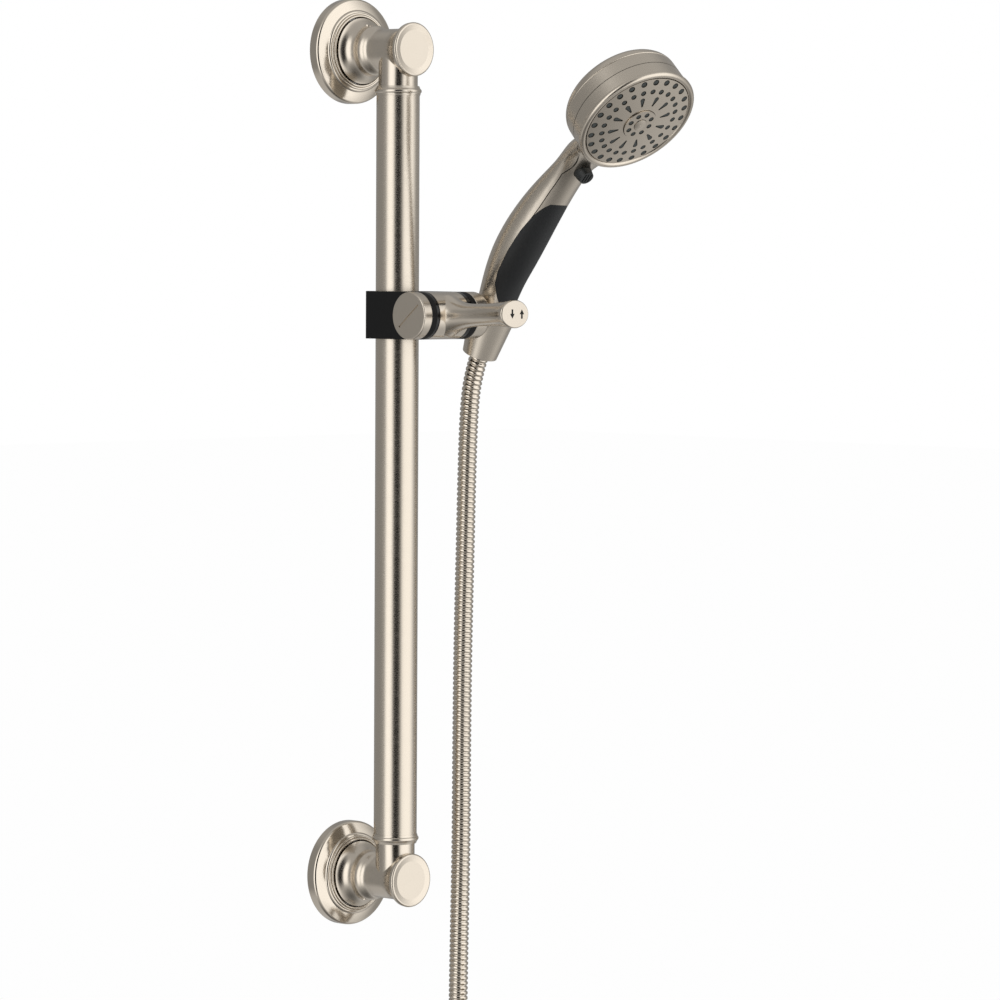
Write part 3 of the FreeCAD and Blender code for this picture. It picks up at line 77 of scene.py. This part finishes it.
# ---------------------------------------------------------------- studio
# A room lit by a narrow soft box on one side and a broad one on the other, with an unlit gap between them behind
# the camera, so that round metal shows a bright band on each side of a dark one. The floor is plain and pale, and
# it lies low enough for the hose to clear it when the slider is at the bottom of the bar. Each box is given by
# where it starts and ends, in degrees round from the camera as the object faces it.
LEFT_BOX = (-57.0, -17.0)
RIGHT_BOX = (24.0, 104.0)
ROOM_LIGHT = 2.0
FLOOR_DROP = 0.42
FLOOR_WIDTH = 40.0


def joined(tree, kind, operation=None, *inputs):
    """A node of a kind with its inputs filled from numbers or from other outputs; gives its first output."""
    made = tree.nodes.new(kind)
    if operation:
        made.operation = operation
    for at, value in enumerate(inputs):
        if value is None:
            continue
        if isinstance(value, (int, float, tuple)):
            made.inputs[at].default_value = value
        else:
            tree.links.new(value, made.inputs[at])
    return made.outputs[0]


def ramp(tree, value, stops):
    """A straight-line ramp of greys through (place, grey) stops, read at value."""
    made = tree.nodes.new("ShaderNodeValToRGB")
    made.color_ramp.interpolation = "LINEAR"
    points = made.color_ramp.elements
    while len(points) < len(stops):
        points.new(0.5)
    for point, (at, grey) in zip(points, stops):
        point.position = at
        point.color = (grey, grey, grey, 1.0)
    tree.links.new(value, made.inputs[0])
    return made.outputs[0]


room = bpy.data.worlds.new("studio")
bpy.context.scene.world = room
room.use_nodes = True
tree = room.node_tree
tree.nodes.clear()
looking = tree.nodes.new("ShaderNodeTexCoord").outputs["Generated"]
across = joined(tree, "ShaderNodeVectorMath", "DOT_PRODUCT", looking, tuple(float(v) for v in level))
across = across.node.outputs["Value"]
towards = tuple(float(v) for v in -np.array([ahead[0], ahead[1], 0]) / math.cos(VIEW_DROP))
facing_us = joined(tree, "ShaderNodeVectorMath", "DOT_PRODUCT", looking, towards).node.outputs["Value"]
turn = joined(tree, "ShaderNodeMath", "ARCTAN2", across, facing_us)
turn_share = joined(tree, "ShaderNodeMath", "MULTIPLY_ADD", turn, 0.5 / math.pi, 0.5)


def show_apart(tree, lights_with, looks_like, output):
    """Wires an output that lights the object with one shader and shows another to the camera."""
    seen = tree.nodes.new("ShaderNodeLightPath").outputs["Is Camera Ray"]
    both = tree.nodes.new("ShaderNodeMixShader")
    tree.links.new(seen, both.inputs[0])
    tree.links.new(lights_with, both.inputs[1])
    tree.links.new(looks_like, both.inputs[2])
    tree.links.new(both.outputs[0], tree.nodes.new(output).inputs["Surface"])


def at_turn(degrees):
    """Where an angle round from the camera lies on the ramp round the room, from 0 to 1."""
    return 0.5 + degrees / 360.0


# how bright the room is all the way round: dim behind the object, then a box, the gap, a box, and dim again
round_the_room = [
    (0.0, 0.34), (at_turn(LEFT_BOX[0] - 30), 0.36), (at_turn(LEFT_BOX[0] - 5), 0.50),
    (at_turn(LEFT_BOX[0] + 4), 1.75), (at_turn(LEFT_BOX[1] - 5), 1.75),
    (at_turn(LEFT_BOX[1] + 3), 0.0), (at_turn(RIGHT_BOX[0] - 4), 0.0),
    (at_turn(RIGHT_BOX[0] + 12), 1.60), (at_turn(RIGHT_BOX[1] - 20), 1.65),
    (at_turn(RIGHT_BOX[1] + 10), 0.40), (1.0, 0.34),
]
walls = ramp(tree, turn_share, [(at, bright / ROOM_LIGHT) for at, bright in round_the_room])
height = joined(tree, "ShaderNodeSeparateXYZ", None, looking).node.outputs["Z"]
height_share = joined(tree, "ShaderNodeMath", "MULTIPLY_ADD", height, 0.5, 0.5)
# near straight down and straight up the walls give way to a light of their own
overhead = ramp(tree, height_share, [
    (0.0, 1.0), (0.14, 1.0), (0.30, 0.0), (0.78, 0.0), (0.92, 1.0), (1.0, 1.0),
])
ends = ramp(tree, height_share, [
    (0.0, 0.08), (0.035, 0.13), (0.11, 0.27), (0.22, 0.42), (0.5, 0.35), (1.0, 0.28),
])
light = tree.nodes.new("ShaderNodeMix")
light.data_type = "RGBA"
tree.links.new(overhead, light.inputs["Factor"])
tree.links.new(walls, light.inputs["A"])
tree.links.new(ends, light.inputs["B"])
lit = tree.nodes.new("ShaderNodeBackground")
lit.inputs["Strength"].default_value = ROOM_LIGHT
tree.links.new(light.outputs["Result"], lit.inputs["Color"])
plain = tree.nodes.new("ShaderNodeBackground")
plain.inputs["Color"].default_value = (1, 1, 1, 1)
show_apart(tree, lit.outputs[0], plain.outputs[0], "ShaderNodeOutputWorld")

bpy.ops.mesh.primitive_plane_add(size=FLOOR_WIDTH, location=(0, 0, cad_box[0][2] - FLOOR_DROP))
floor = bpy.context.object
floor.name = "floor"
pale = bpy.data.materials.new("pale_floor")
pale.use_nodes = True
tree = pale.node_tree
tree.nodes.clear()
matt = tree.nodes.new("ShaderNodeBsdfDiffuse")
matt.inputs["Color"].default_value = (0.85, 0.85, 0.85, 1)
glow = tree.nodes.new("ShaderNodeEmission")
glow.inputs["Color"].default_value = (0.99, 0.99, 0.99, 1)
show_apart(tree, matt.outputs[0], glow.outputs[0], "ShaderNodeOutputMaterial")
floor.data.materials.append(pale)
floor.visible_glossy = False

# ---------------------------------------------------------------- hose
# An interlocked metal spiral over a rubber tube, 1.6 m long. It leaves the cone nut along the cradle's slant and
# hangs straight beside the bar. Low down it is wound in two turns of one size, held by a tie, and it ends in a
# ferrule and a nut. Its middle is a smooth curve that the points of the route lead, and that cuts their corners.
HOSE_RADIUS = 0.00715
NUT_EXIT = (0.0520, -0.0876, 0.3879)
HANGS_FREE = (0.0520, -0.0742, 0.3000)
route = [
    NUT_EXIT, (0.0520, -0.0802, 0.3712), (0.0522, -0.0759, 0.3450), HANGS_FREE,
    (0.0517, -0.0730, 0.2400), (0.0519, -0.0708, 0.1700), (0.0522, -0.0698, 0.0950),
    (0.0520, -0.0699, 0.0200), (0.0518, -0.0684, -0.0500), (0.0520, -0.0670, -0.1250),
    (0.0520, -0.0664, -0.1750),
]
COIL_RADIUS = 0.0745
COIL_TURNS = 2
COIL_LAY = 0.0146
COIL_START = (0.052, -0.0664, -0.190)
POINTS_PER_TURN = 16
coil_middle_y = COIL_START[1] - COIL_RADIUS
# at a point the curve is three quarters that point and an eighth each of its neighbours, so the points of the
# coil stand a little further out than its radius
spread = COIL_RADIUS / (0.75 + 0.25 * math.cos(2 * math.pi / POINTS_PER_TURN))
for count in range(1, POINTS_PER_TURN * COIL_TURNS):
    step = count / POINTS_PER_TURN
    angle = 2 * math.pi * step
    route.append((COIL_START[0] + COIL_LAY * step, coil_middle_y + spread * math.cos(angle),
                  COIL_START[2] - spread * math.sin(angle)))
route += [(0.0812, -0.0664, -0.2050), (0.0812, -0.0664, -0.2540)]
line = bpy.data.curves.new("hose_line", "CURVE")
line.dimensions = "3D"
line.resolution_u = 24
spline = line.splines.new("NURBS")
spline.points.add(len(route) - 1)
spline.points.foreach_set("co", np.array([(*point, 1.0) for point in route], dtype=np.float32).ravel())
spline.order_u = 3
spline.use_endpoint_u = True
line_object = bpy.data.objects.new("hose_line", line)
bpy.context.scene.collection.objects.link(line_object)
bpy.context.view_layer.update()
sampled = bpy.data.meshes.new_from_object(line_object)
centre_line = np.empty(len(sampled.vertices) * 3)
sampled.vertices.foreach_get("co", centre_line)
centre_line = centre_line.reshape(-1, 3)
bpy.data.objects.remove(line_object)
bpy.data.meshes.remove(sampled)


def along_line(points, spacing):
    """Even points along a line of points, the unit direction at each and how far along each is.

    The lengths between the points are added up, and places are read back from them at even distances."""
    runs = np.linalg.norm(np.diff(points, axis=0), axis=1)
    at = np.concatenate([[0.0], np.cumsum(runs)])
    wanted = np.linspace(0.0, at[-1], max(2, int(round(at[-1] / spacing)) + 1))
    placed = np.stack([np.interp(wanted, at, points[:, axis]) for axis in range(3)], axis=1)
    direction = np.gradient(placed, axis=0)
    return placed, direction / np.linalg.norm(direction, axis=1)[:, None], wanted


def steady_frames(direction, start):
    """Side and top vectors that never twist: each side is the last one made square to the new direction."""
    side = np.empty_like(direction)
    side[0] = start - direction[0] * np.dot(start, direction[0])
    side[0] /= np.linalg.norm(side[0])
    for count in range(1, len(direction)):
        turned = side[count - 1] - direction[count] * np.dot(side[count - 1], direction[count])
        side[count] = turned / np.linalg.norm(turned)
    return side, np.cross(direction, side)


def tube_mesh(name, points):
    """A closed tube from a grid of points: rows along it, columns round it, and a fan of faces on each end."""
    rows, columns = points.shape[:2]
    row = np.arange(rows - 1)[:, None]
    column = np.arange(columns)[None, :]
    next_row = row + 1
    next_column = (column + 1) % columns
    corners = [row * columns + column, row * columns + next_column, next_row * columns + next_column,
               next_row * columns + column]
    quads = np.stack([np.broadcast_to(corner, (row.size, column.size)) for corner in corners], axis=-1)
    faces = [tuple(quad) for quad in quads.reshape(-1, 4).tolist()]
    centres = np.array([points[0].mean(axis=0), points[-1].mean(axis=0)])
    vertices = np.vstack([points.reshape(-1, 3), centres])
    first, last = rows * columns, rows * columns + 1
    for count in range(columns):
        after = (count + 1) % columns
        faces += [(first, after, count), (last, (rows - 1) * columns + count, (rows - 1) * columns + after)]
    mesh = bpy.data.meshes.new(name)
    mesh.from_pydata(vertices.tolist(), [], faces)
    mesh.polygons.foreach_set("use_smooth", np.ones(len(mesh.polygons), dtype=bool))
    mesh.update()
    piece = bpy.data.objects.new(name, mesh)
    bpy.context.scene.collection.objects.link(piece)
    return piece


RIDGE_PITCH = 0.0037
RIDGE_HEIGHT = 0.00105
RIDGE_HALF = 0.40
RIDGE_FLATNESS = 3.2
SAMPLES_PER_RIDGE = 7
AROUND_HOSE = 20
middle, direction, run = along_line(centre_line, RIDGE_PITCH / SAMPLES_PER_RIDGE)
side, top = steady_frames(direction, np.array([1.0, 0.0, 0.0]))
around = np.linspace(0, 2 * math.pi, AROUND_HOSE, endpoint=False)
phase = (run[:, None] / RIDGE_PITCH + around[None, :] / (2 * math.pi)) % 1.0
# each ridge is a rounded band four fifths of the pitch wide, and the rest is the groove between bands:
# its height falls from the middle of the band with a power of the distance from there
band = np.clip(1.0 - np.abs((phase - RIDGE_HALF) / RIDGE_HALF) ** RIDGE_FLATNESS, 0.0, 1.0)
hose_skin = HOSE_RADIUS - RIDGE_HEIGHT * (1.0 - band)
rim = hose_skin[:, :, None] * (np.cos(around)[None, :, None] * side[:, None, :]
                              + np.sin(around)[None, :, None] * top[:, None, :])
hose = tube_mesh("hose_spiral", middle[:, None, :] + rim)


def group_of(name, inputs, outputs):
    """A shader node group with inputs (name, kind, default) and outputs (name, kind), and what they wire to."""
    made = bpy.data.node_groups.new(name, "ShaderNodeTree")
    for label, kind, default in inputs:
        socket = made.interface.new_socket(label, in_out="INPUT", socket_type=kind)
        if default is not None:
            socket.default_value = default
    for label, kind in outputs:
        made.interface.new_socket(label, in_out="OUTPUT", socket_type=kind)
    return made, made.nodes.new("NodeGroupInput").outputs, made.nodes.new("NodeGroupOutput").inputs


def noise_at(tree, vector, scale, detail=2.0, rough=0.5):
    """Noise read at a vector."""
    made = tree.nodes.new("ShaderNodeTexNoise")
    made.inputs["Scale"].default_value = scale
    made.inputs["Detail"].default_value = detail
    made.inputs["Roughness"].default_value = rough
    tree.links.new(vector, made.inputs["Vector"])
    return made.outputs["Fac"]


def shaded(tree, colour, amount, gives_colour):
    """Passes a colour on, made lighter or darker by an amount."""
    shade = tree.nodes.new("ShaderNodeVectorMath")
    shade.operation = "SCALE"
    tree.links.new(colour, shade.inputs[0])
    tree.links.new(amount, shade.inputs["Scale"])
    tree.links.new(shade.outputs[0], gives_colour)


NICKEL = (0.615, 0.552, 0.468, 1.0)
GRAIN_FINENESS = 1500.0
# brushed metal: fine lines from noise drawn out along the brushing, and slow clouds of sheen from handling
grain, given, gives = group_of(
    "brushed_grain",
    [("Vector", "NodeSocketVector", None), ("Colour", "NodeSocketColor", NICKEL),
     ("Roughness", "NodeSocketFloat", 0.26), ("Depth", "NodeSocketFloat", 0.10)],
    [("Colour", "NodeSocketColor"), ("Roughness", "NodeSocketFloat"), ("Height", "NodeSocketFloat")])
lines = noise_at(grain, given["Vector"], 1.0, 3.0, 0.65)
wide = joined(grain, "ShaderNodeVectorMath", "MULTIPLY", given["Vector"], (0.05, 0.05, 0.05))
clouds = noise_at(grain, wide, 1.0)
tone = joined(grain, "ShaderNodeMath", "MULTIPLY_ADD", lines, given["Depth"], 0.95)
shaded(grain, given["Colour"], tone, gives["Colour"])
patchy = joined(grain, "ShaderNodeMath", "MULTIPLY_ADD", clouds, 0.06, -0.03)
streaky = joined(grain, "ShaderNodeMath", "MULTIPLY_ADD", lines, 0.10, -0.05)
rougher = joined(grain, "ShaderNodeMath", "ADD", patchy, streaky)
grain.links.new(joined(grain, "ShaderNodeMath", "ADD", rougher, given["Roughness"]), gives["Roughness"])
grain.links.new(lines, gives["Height"])

# the same grain on turned work, where the brushing runs round an axis: the vector's Z is the axis
turned_grain, given, gives = group_of(
    "turning_lines", [("Vector", "NodeSocketVector", None), ("Fineness", "NodeSocketFloat", 2500.0)],
    [("Vector", "NodeSocketVector")])
parts = joined(turned_grain, "ShaderNodeSeparateXYZ", None, given["Vector"]).node.outputs
square = joined(turned_grain, "ShaderNodeMath", "MULTIPLY", parts["X"], parts["X"])
square = joined(turned_grain, "ShaderNodeMath", "MULTIPLY_ADD", parts["Y"], parts["Y"], square)
from_axis = joined(turned_grain, "ShaderNodeMath", "SQRT", square)
swung = joined(turned_grain, "ShaderNodeMath", "ARCTAN2", parts["Y"], parts["X"])
rings = turned_grain.nodes.new("ShaderNodeCombineXYZ")
for at, (length, fineness) in enumerate([(from_axis, given["Fineness"]), (parts["Z"], given["Fineness"]),
                                         (swung, 3.0)]):
    turned_grain.links.new(joined(turned_grain, "ShaderNodeMath", "MULTIPLY", length, fineness), rings.inputs[at])
turned_grain.links.new(rings.outputs[0], gives["Vector"])


def new_material(name):
    """An empty material with its shader and output, ready to be wired."""
    made = bpy.data.materials.new(name)
    made.use_nodes = True
    tree = made.node_tree
    tree.nodes.clear()
    shader = tree.nodes.new("ShaderNodeBsdfPrincipled")
    tree.links.new(shader.outputs[0], tree.nodes.new("ShaderNodeOutputMaterial").inputs["Surface"])
    return made, tree, shader


def placed_coordinates(tree, centre=(0, 0, 0), turn=(0, 0, 0), stretch=(1, 1, 1)):
    """Object coordinates moved to a centre, turned and stretched."""
    moved = tree.nodes.new("ShaderNodeVectorMath")
    moved.operation = "SUBTRACT"
    tree.links.new(tree.nodes.new("ShaderNodeTexCoord").outputs["Object"], moved.inputs[0])
    moved.inputs[1].default_value = centre
    mapping = tree.nodes.new("ShaderNodeMapping")
    mapping.inputs["Rotation"].default_value = turn
    mapping.inputs["Scale"].default_value = stretch
    tree.links.new(moved.outputs[0], mapping.inputs["Vector"])
    return mapping.outputs[0]


BUMP_DEPTH = 0.0001


def lay_on(tree, shader, texture, bump):
    """Wires a texture group's colour, roughness and height to a shader, the height as a bump BUMP_DEPTH deep."""
    tree.links.new(texture.outputs["Colour"], shader.inputs["Base Color"])
    tree.links.new(texture.outputs["Roughness"], shader.inputs["Roughness"])
    raised = tree.nodes.new("ShaderNodeBump")
    raised.inputs["Strength"].default_value = bump
    raised.inputs["Distance"].default_value = BUMP_DEPTH
    tree.links.new(texture.outputs["Height"], raised.inputs["Height"])
    tree.links.new(raised.outputs[0], shader.inputs["Normal"])


def nickel(name, roughness, centre=(0, 0, 0), turn=(0, 0, 0), stretch=None, fineness=GRAIN_FINENESS,
           bump=0.02, colour=NICKEL, depth=0.10):
    """Brushed metal, nickel unless a colour is given. Where stretch is given the brushing is straight, and
    otherwise it runs round the axis that turn sets."""
    made, tree, shader = new_material(name)
    vector = placed_coordinates(tree, centre, turn, stretch or (1, 1, 1))
    if stretch is None:
        lines = tree.nodes.new("ShaderNodeGroup")
        lines.node_tree = turned_grain
        lines.inputs["Fineness"].default_value = fineness
        tree.links.new(vector, lines.inputs["Vector"])
        vector = lines.outputs["Vector"]
    brushed = tree.nodes.new("ShaderNodeGroup")
    brushed.node_tree = grain
    brushed.inputs["Colour"].default_value = colour
    brushed.inputs["Roughness"].default_value = roughness
    brushed.inputs["Depth"].default_value = depth
    tree.links.new(vector, brushed.inputs["Vector"])
    shader.inputs["Metallic"].default_value = 1.0
    lay_on(tree, shader, brushed, bump)
    return made


def finish(material, *nodes):
    """Gives carried-over pieces their finish."""
    for node in nodes:
        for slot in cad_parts[node].material_slots:
            slot.link = "OBJECT"
            slot.material = material


hose_finish = nickel("hose_nickel", 0.16, stretch=(900, 900, 900), bump=0.03)
hose.data.materials.append(hose_finish)
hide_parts("hose", "hose_coil", "hose_tail")
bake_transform(hose)
HOSE_END = (0.0812, -0.0664, -0.27)
finish(nickel("hose_end_nickel", 0.24, centre=HOSE_END, fineness=1200.0), "end_ferrule", "end_nut")

# ---------------------------------------------------------------- soft and moulded black pieces
# Rubber, glass-filled plastic and glossy rings: near black, each moulded with its own fine texture and shine. The
# pieces inside the head and the slider that carry water or slide on the bar are plain white plastic.
speckle, given, gives = group_of(
    "moulded_texture",
    [("Vector", "NodeSocketVector", None), ("Fineness", "NodeSocketFloat", 2200.0),
     ("Colour", "NodeSocketColor", (0.02, 0.02, 0.02, 1)), ("Roughness", "NodeSocketFloat", 0.5),
     ("Contrast", "NodeSocketFloat", 0.3)],
    [("Colour", "NodeSocketColor"), ("Roughness", "NodeSocketFloat"), ("Height", "NodeSocketFloat")])
fine = speckle.nodes.new("ShaderNodeTexNoise")
speckle.links.new(given["Vector"], fine.inputs["Vector"])
speckle.links.new(given["Fineness"], fine.inputs["Scale"])
fine.inputs["Detail"].default_value = 2.0
slow = noise_at(speckle, given["Vector"], 60.0, 3.0)
tone = joined(speckle, "ShaderNodeMath", "MULTIPLY_ADD", fine.outputs["Fac"], given["Contrast"], 0.85)
shaded(speckle, given["Colour"], tone, gives["Colour"])
worn = joined(speckle, "ShaderNodeMath", "MULTIPLY_ADD", slow, 0.10, -0.05)
speckle.links.new(joined(speckle, "ShaderNodeMath", "ADD", worn, given["Roughness"]), gives["Roughness"])
speckle.links.new(fine.outputs["Fac"], gives["Height"])


def moulded(name, colour, roughness, fineness=2200.0, bump=0.25, contrast=0.3, shine=0.5):
    """Plastic or rubber with a fine moulded texture."""
    made, tree, shader = new_material(name)
    texture = tree.nodes.new("ShaderNodeGroup")
    texture.node_tree = speckle
    texture.inputs["Fineness"].default_value = fineness
    texture.inputs["Colour"].default_value = (*colour, 1.0)
    texture.inputs["Roughness"].default_value = roughness
    texture.inputs["Contrast"].default_value = contrast
    tree.links.new(placed_coordinates(tree), texture.inputs["Vector"])
    shader.inputs["Specular IOR Level"].default_value = shine
    lay_on(tree, shader, texture, bump)
    return made


slider_black = moulded("slider_black", (0.005, 0.005, 0.005), 0.60, fineness=1400.0, bump=0.35, shine=0.22)
gloss_black = moulded("ring_black", (0.003, 0.003, 0.003), 0.18, bump=0.02, contrast=0.1, shine=0.4)
soft_black = moulded("grip_rubber", (0.016, 0.017, 0.018), 0.48, fineness=2600.0, bump=0.18, shine=0.35)
button_grey = moulded("button_rubber", (0.022, 0.024, 0.024), 0.40, fineness=2600.0, bump=0.10, shine=0.4)
jet_rubber = moulded("jet_rubber", (0.040, 0.048, 0.045), 0.36, fineness=2600.0, bump=0.10)
inner_white = moulded("inner_plastic", (0.62, 0.62, 0.60), 0.40, bump=0.05)
finish(slider_black, "slider_body", "brake_shoe", "cradle_liner", "cone_nut", "lower_wall_gasket",
       "upper_wall_gasket", "hose_tie", "lever_marks")
finish(gloss_black, "left_washer", "right_washer")
finish(button_grey, "front_button", "rear_button")
finish(jet_rubber, "nozzle_mat", "centre_nozzles", "head_seal", "inlet_washer", "end_washer")
finish(inner_white, "slider_liner", "lever_bush", "spray_chamber", "selector_wheel", "water_tube",
       "flow_restrictor")
finish(soft_black, "grip_pad")

# ---------------------------------------------------------------- wall posts and bar
# Turned posts of brushed nickel, 24 in apart on round polished flanges that hide steel brackets. The bar between
# them is drawn tube, brushed round and round along its whole length.
POST_SPACING = 0.6096
AXIS_OUT = (math.radians(90), 0, 0)
FIXINGS_STEEL = (0.55, 0.55, 0.55, 1)
for end, high in (("lower", 0.0), ("upper", POST_SPACING)):
    post_finish = nickel(f"{end}_post_nickel", 0.24, centre=(0, 0, high), turn=AXIS_OUT, bump=0.008,
                         depth=0.06)
    finish(post_finish, f"{end}_post", f"{end}_post_cap", f"{end}_collar_ring")
    cover_finish = nickel(f"{end}_cover_nickel", 0.13, centre=(0, 0, high), turn=AXIS_OUT, bump=0.004,
                          depth=0.04)
    finish(cover_finish, f"{end}_flange_cover")
    steel = nickel(f"{end}_fixings_steel", 0.35, stretch=(800, 800, 800), colour=FIXINGS_STEEL)
    finish(steel, f"{end}_wall_bracket", f"{end}_set_screw")
bar_finish = nickel("bar_nickel", 0.27, centre=(0, -0.0536, 0), stretch=(120, 120, 2600), bump=0.012,
                    depth=0.07)
finish(bar_finish, "bar_tube")

# ---------------------------------------------------------------- slider
# A moulded black block that runs on the bar. A cross axle through it carries a slotted metal cap, glossy rings, a
# polished thumb lever and the tilting cradle, all of them nickel and brushed round the axle or left satin.
CROSS = (0.0, -0.1, 0.4158)
AXIS_SIDE = (0, math.radians(-90), 0)
SATIN = (700, 700, 700)
cap_finish = nickel("cap_nickel", 0.30, centre=CROSS, turn=AXIS_SIDE, bump=0.05, depth=0.05)
finish(cap_finish, "tension_cap", "cross_axle")
lever_finish = nickel("lever_nickel", 0.20, centre=CROSS, stretch=(900, 200, 900), bump=0.04, depth=0.05)
finish(lever_finish, "lever")
cradle_finish = nickel("cradle_nickel", 0.28, centre=CROSS, stretch=SATIN, bump=0.012, depth=0.05)
finish(cradle_finish, "cradle")

# ---------------------------------------------------------------- hand shower
# Two satin nickel shells make the handle and the head, closed by a bezel and the spray plate with its centre disc.
# Inside are steel springs and a selector pin, and a turned brass nipple takes the hose.
SMALL_GRAIN = (900, 900, 900)
SPRING_STEEL = (0.5, 0.5, 0.5, 1)
BRASS = (0.75, 0.55, 0.28, 1)
shell_finish = nickel("shell_nickel", 0.27, centre=CROSS, stretch=SATIN, bump=0.012, depth=0.05)
finish(shell_finish, "rear_shell", "front_shell", "head_bezel", "spray_plate", "centre_disc", "centre_cap")
small_steel = nickel("small_steel", 0.3, stretch=SMALL_GRAIN, colour=SPRING_STEEL)
finish(small_steel, "brake_spring", "front_button_spring", "rear_button_spring", "selector_pin")
brass = nickel("brass", 0.3, stretch=SMALL_GRAIN, colour=BRASS)
finish(brass, "inlet_nipple")
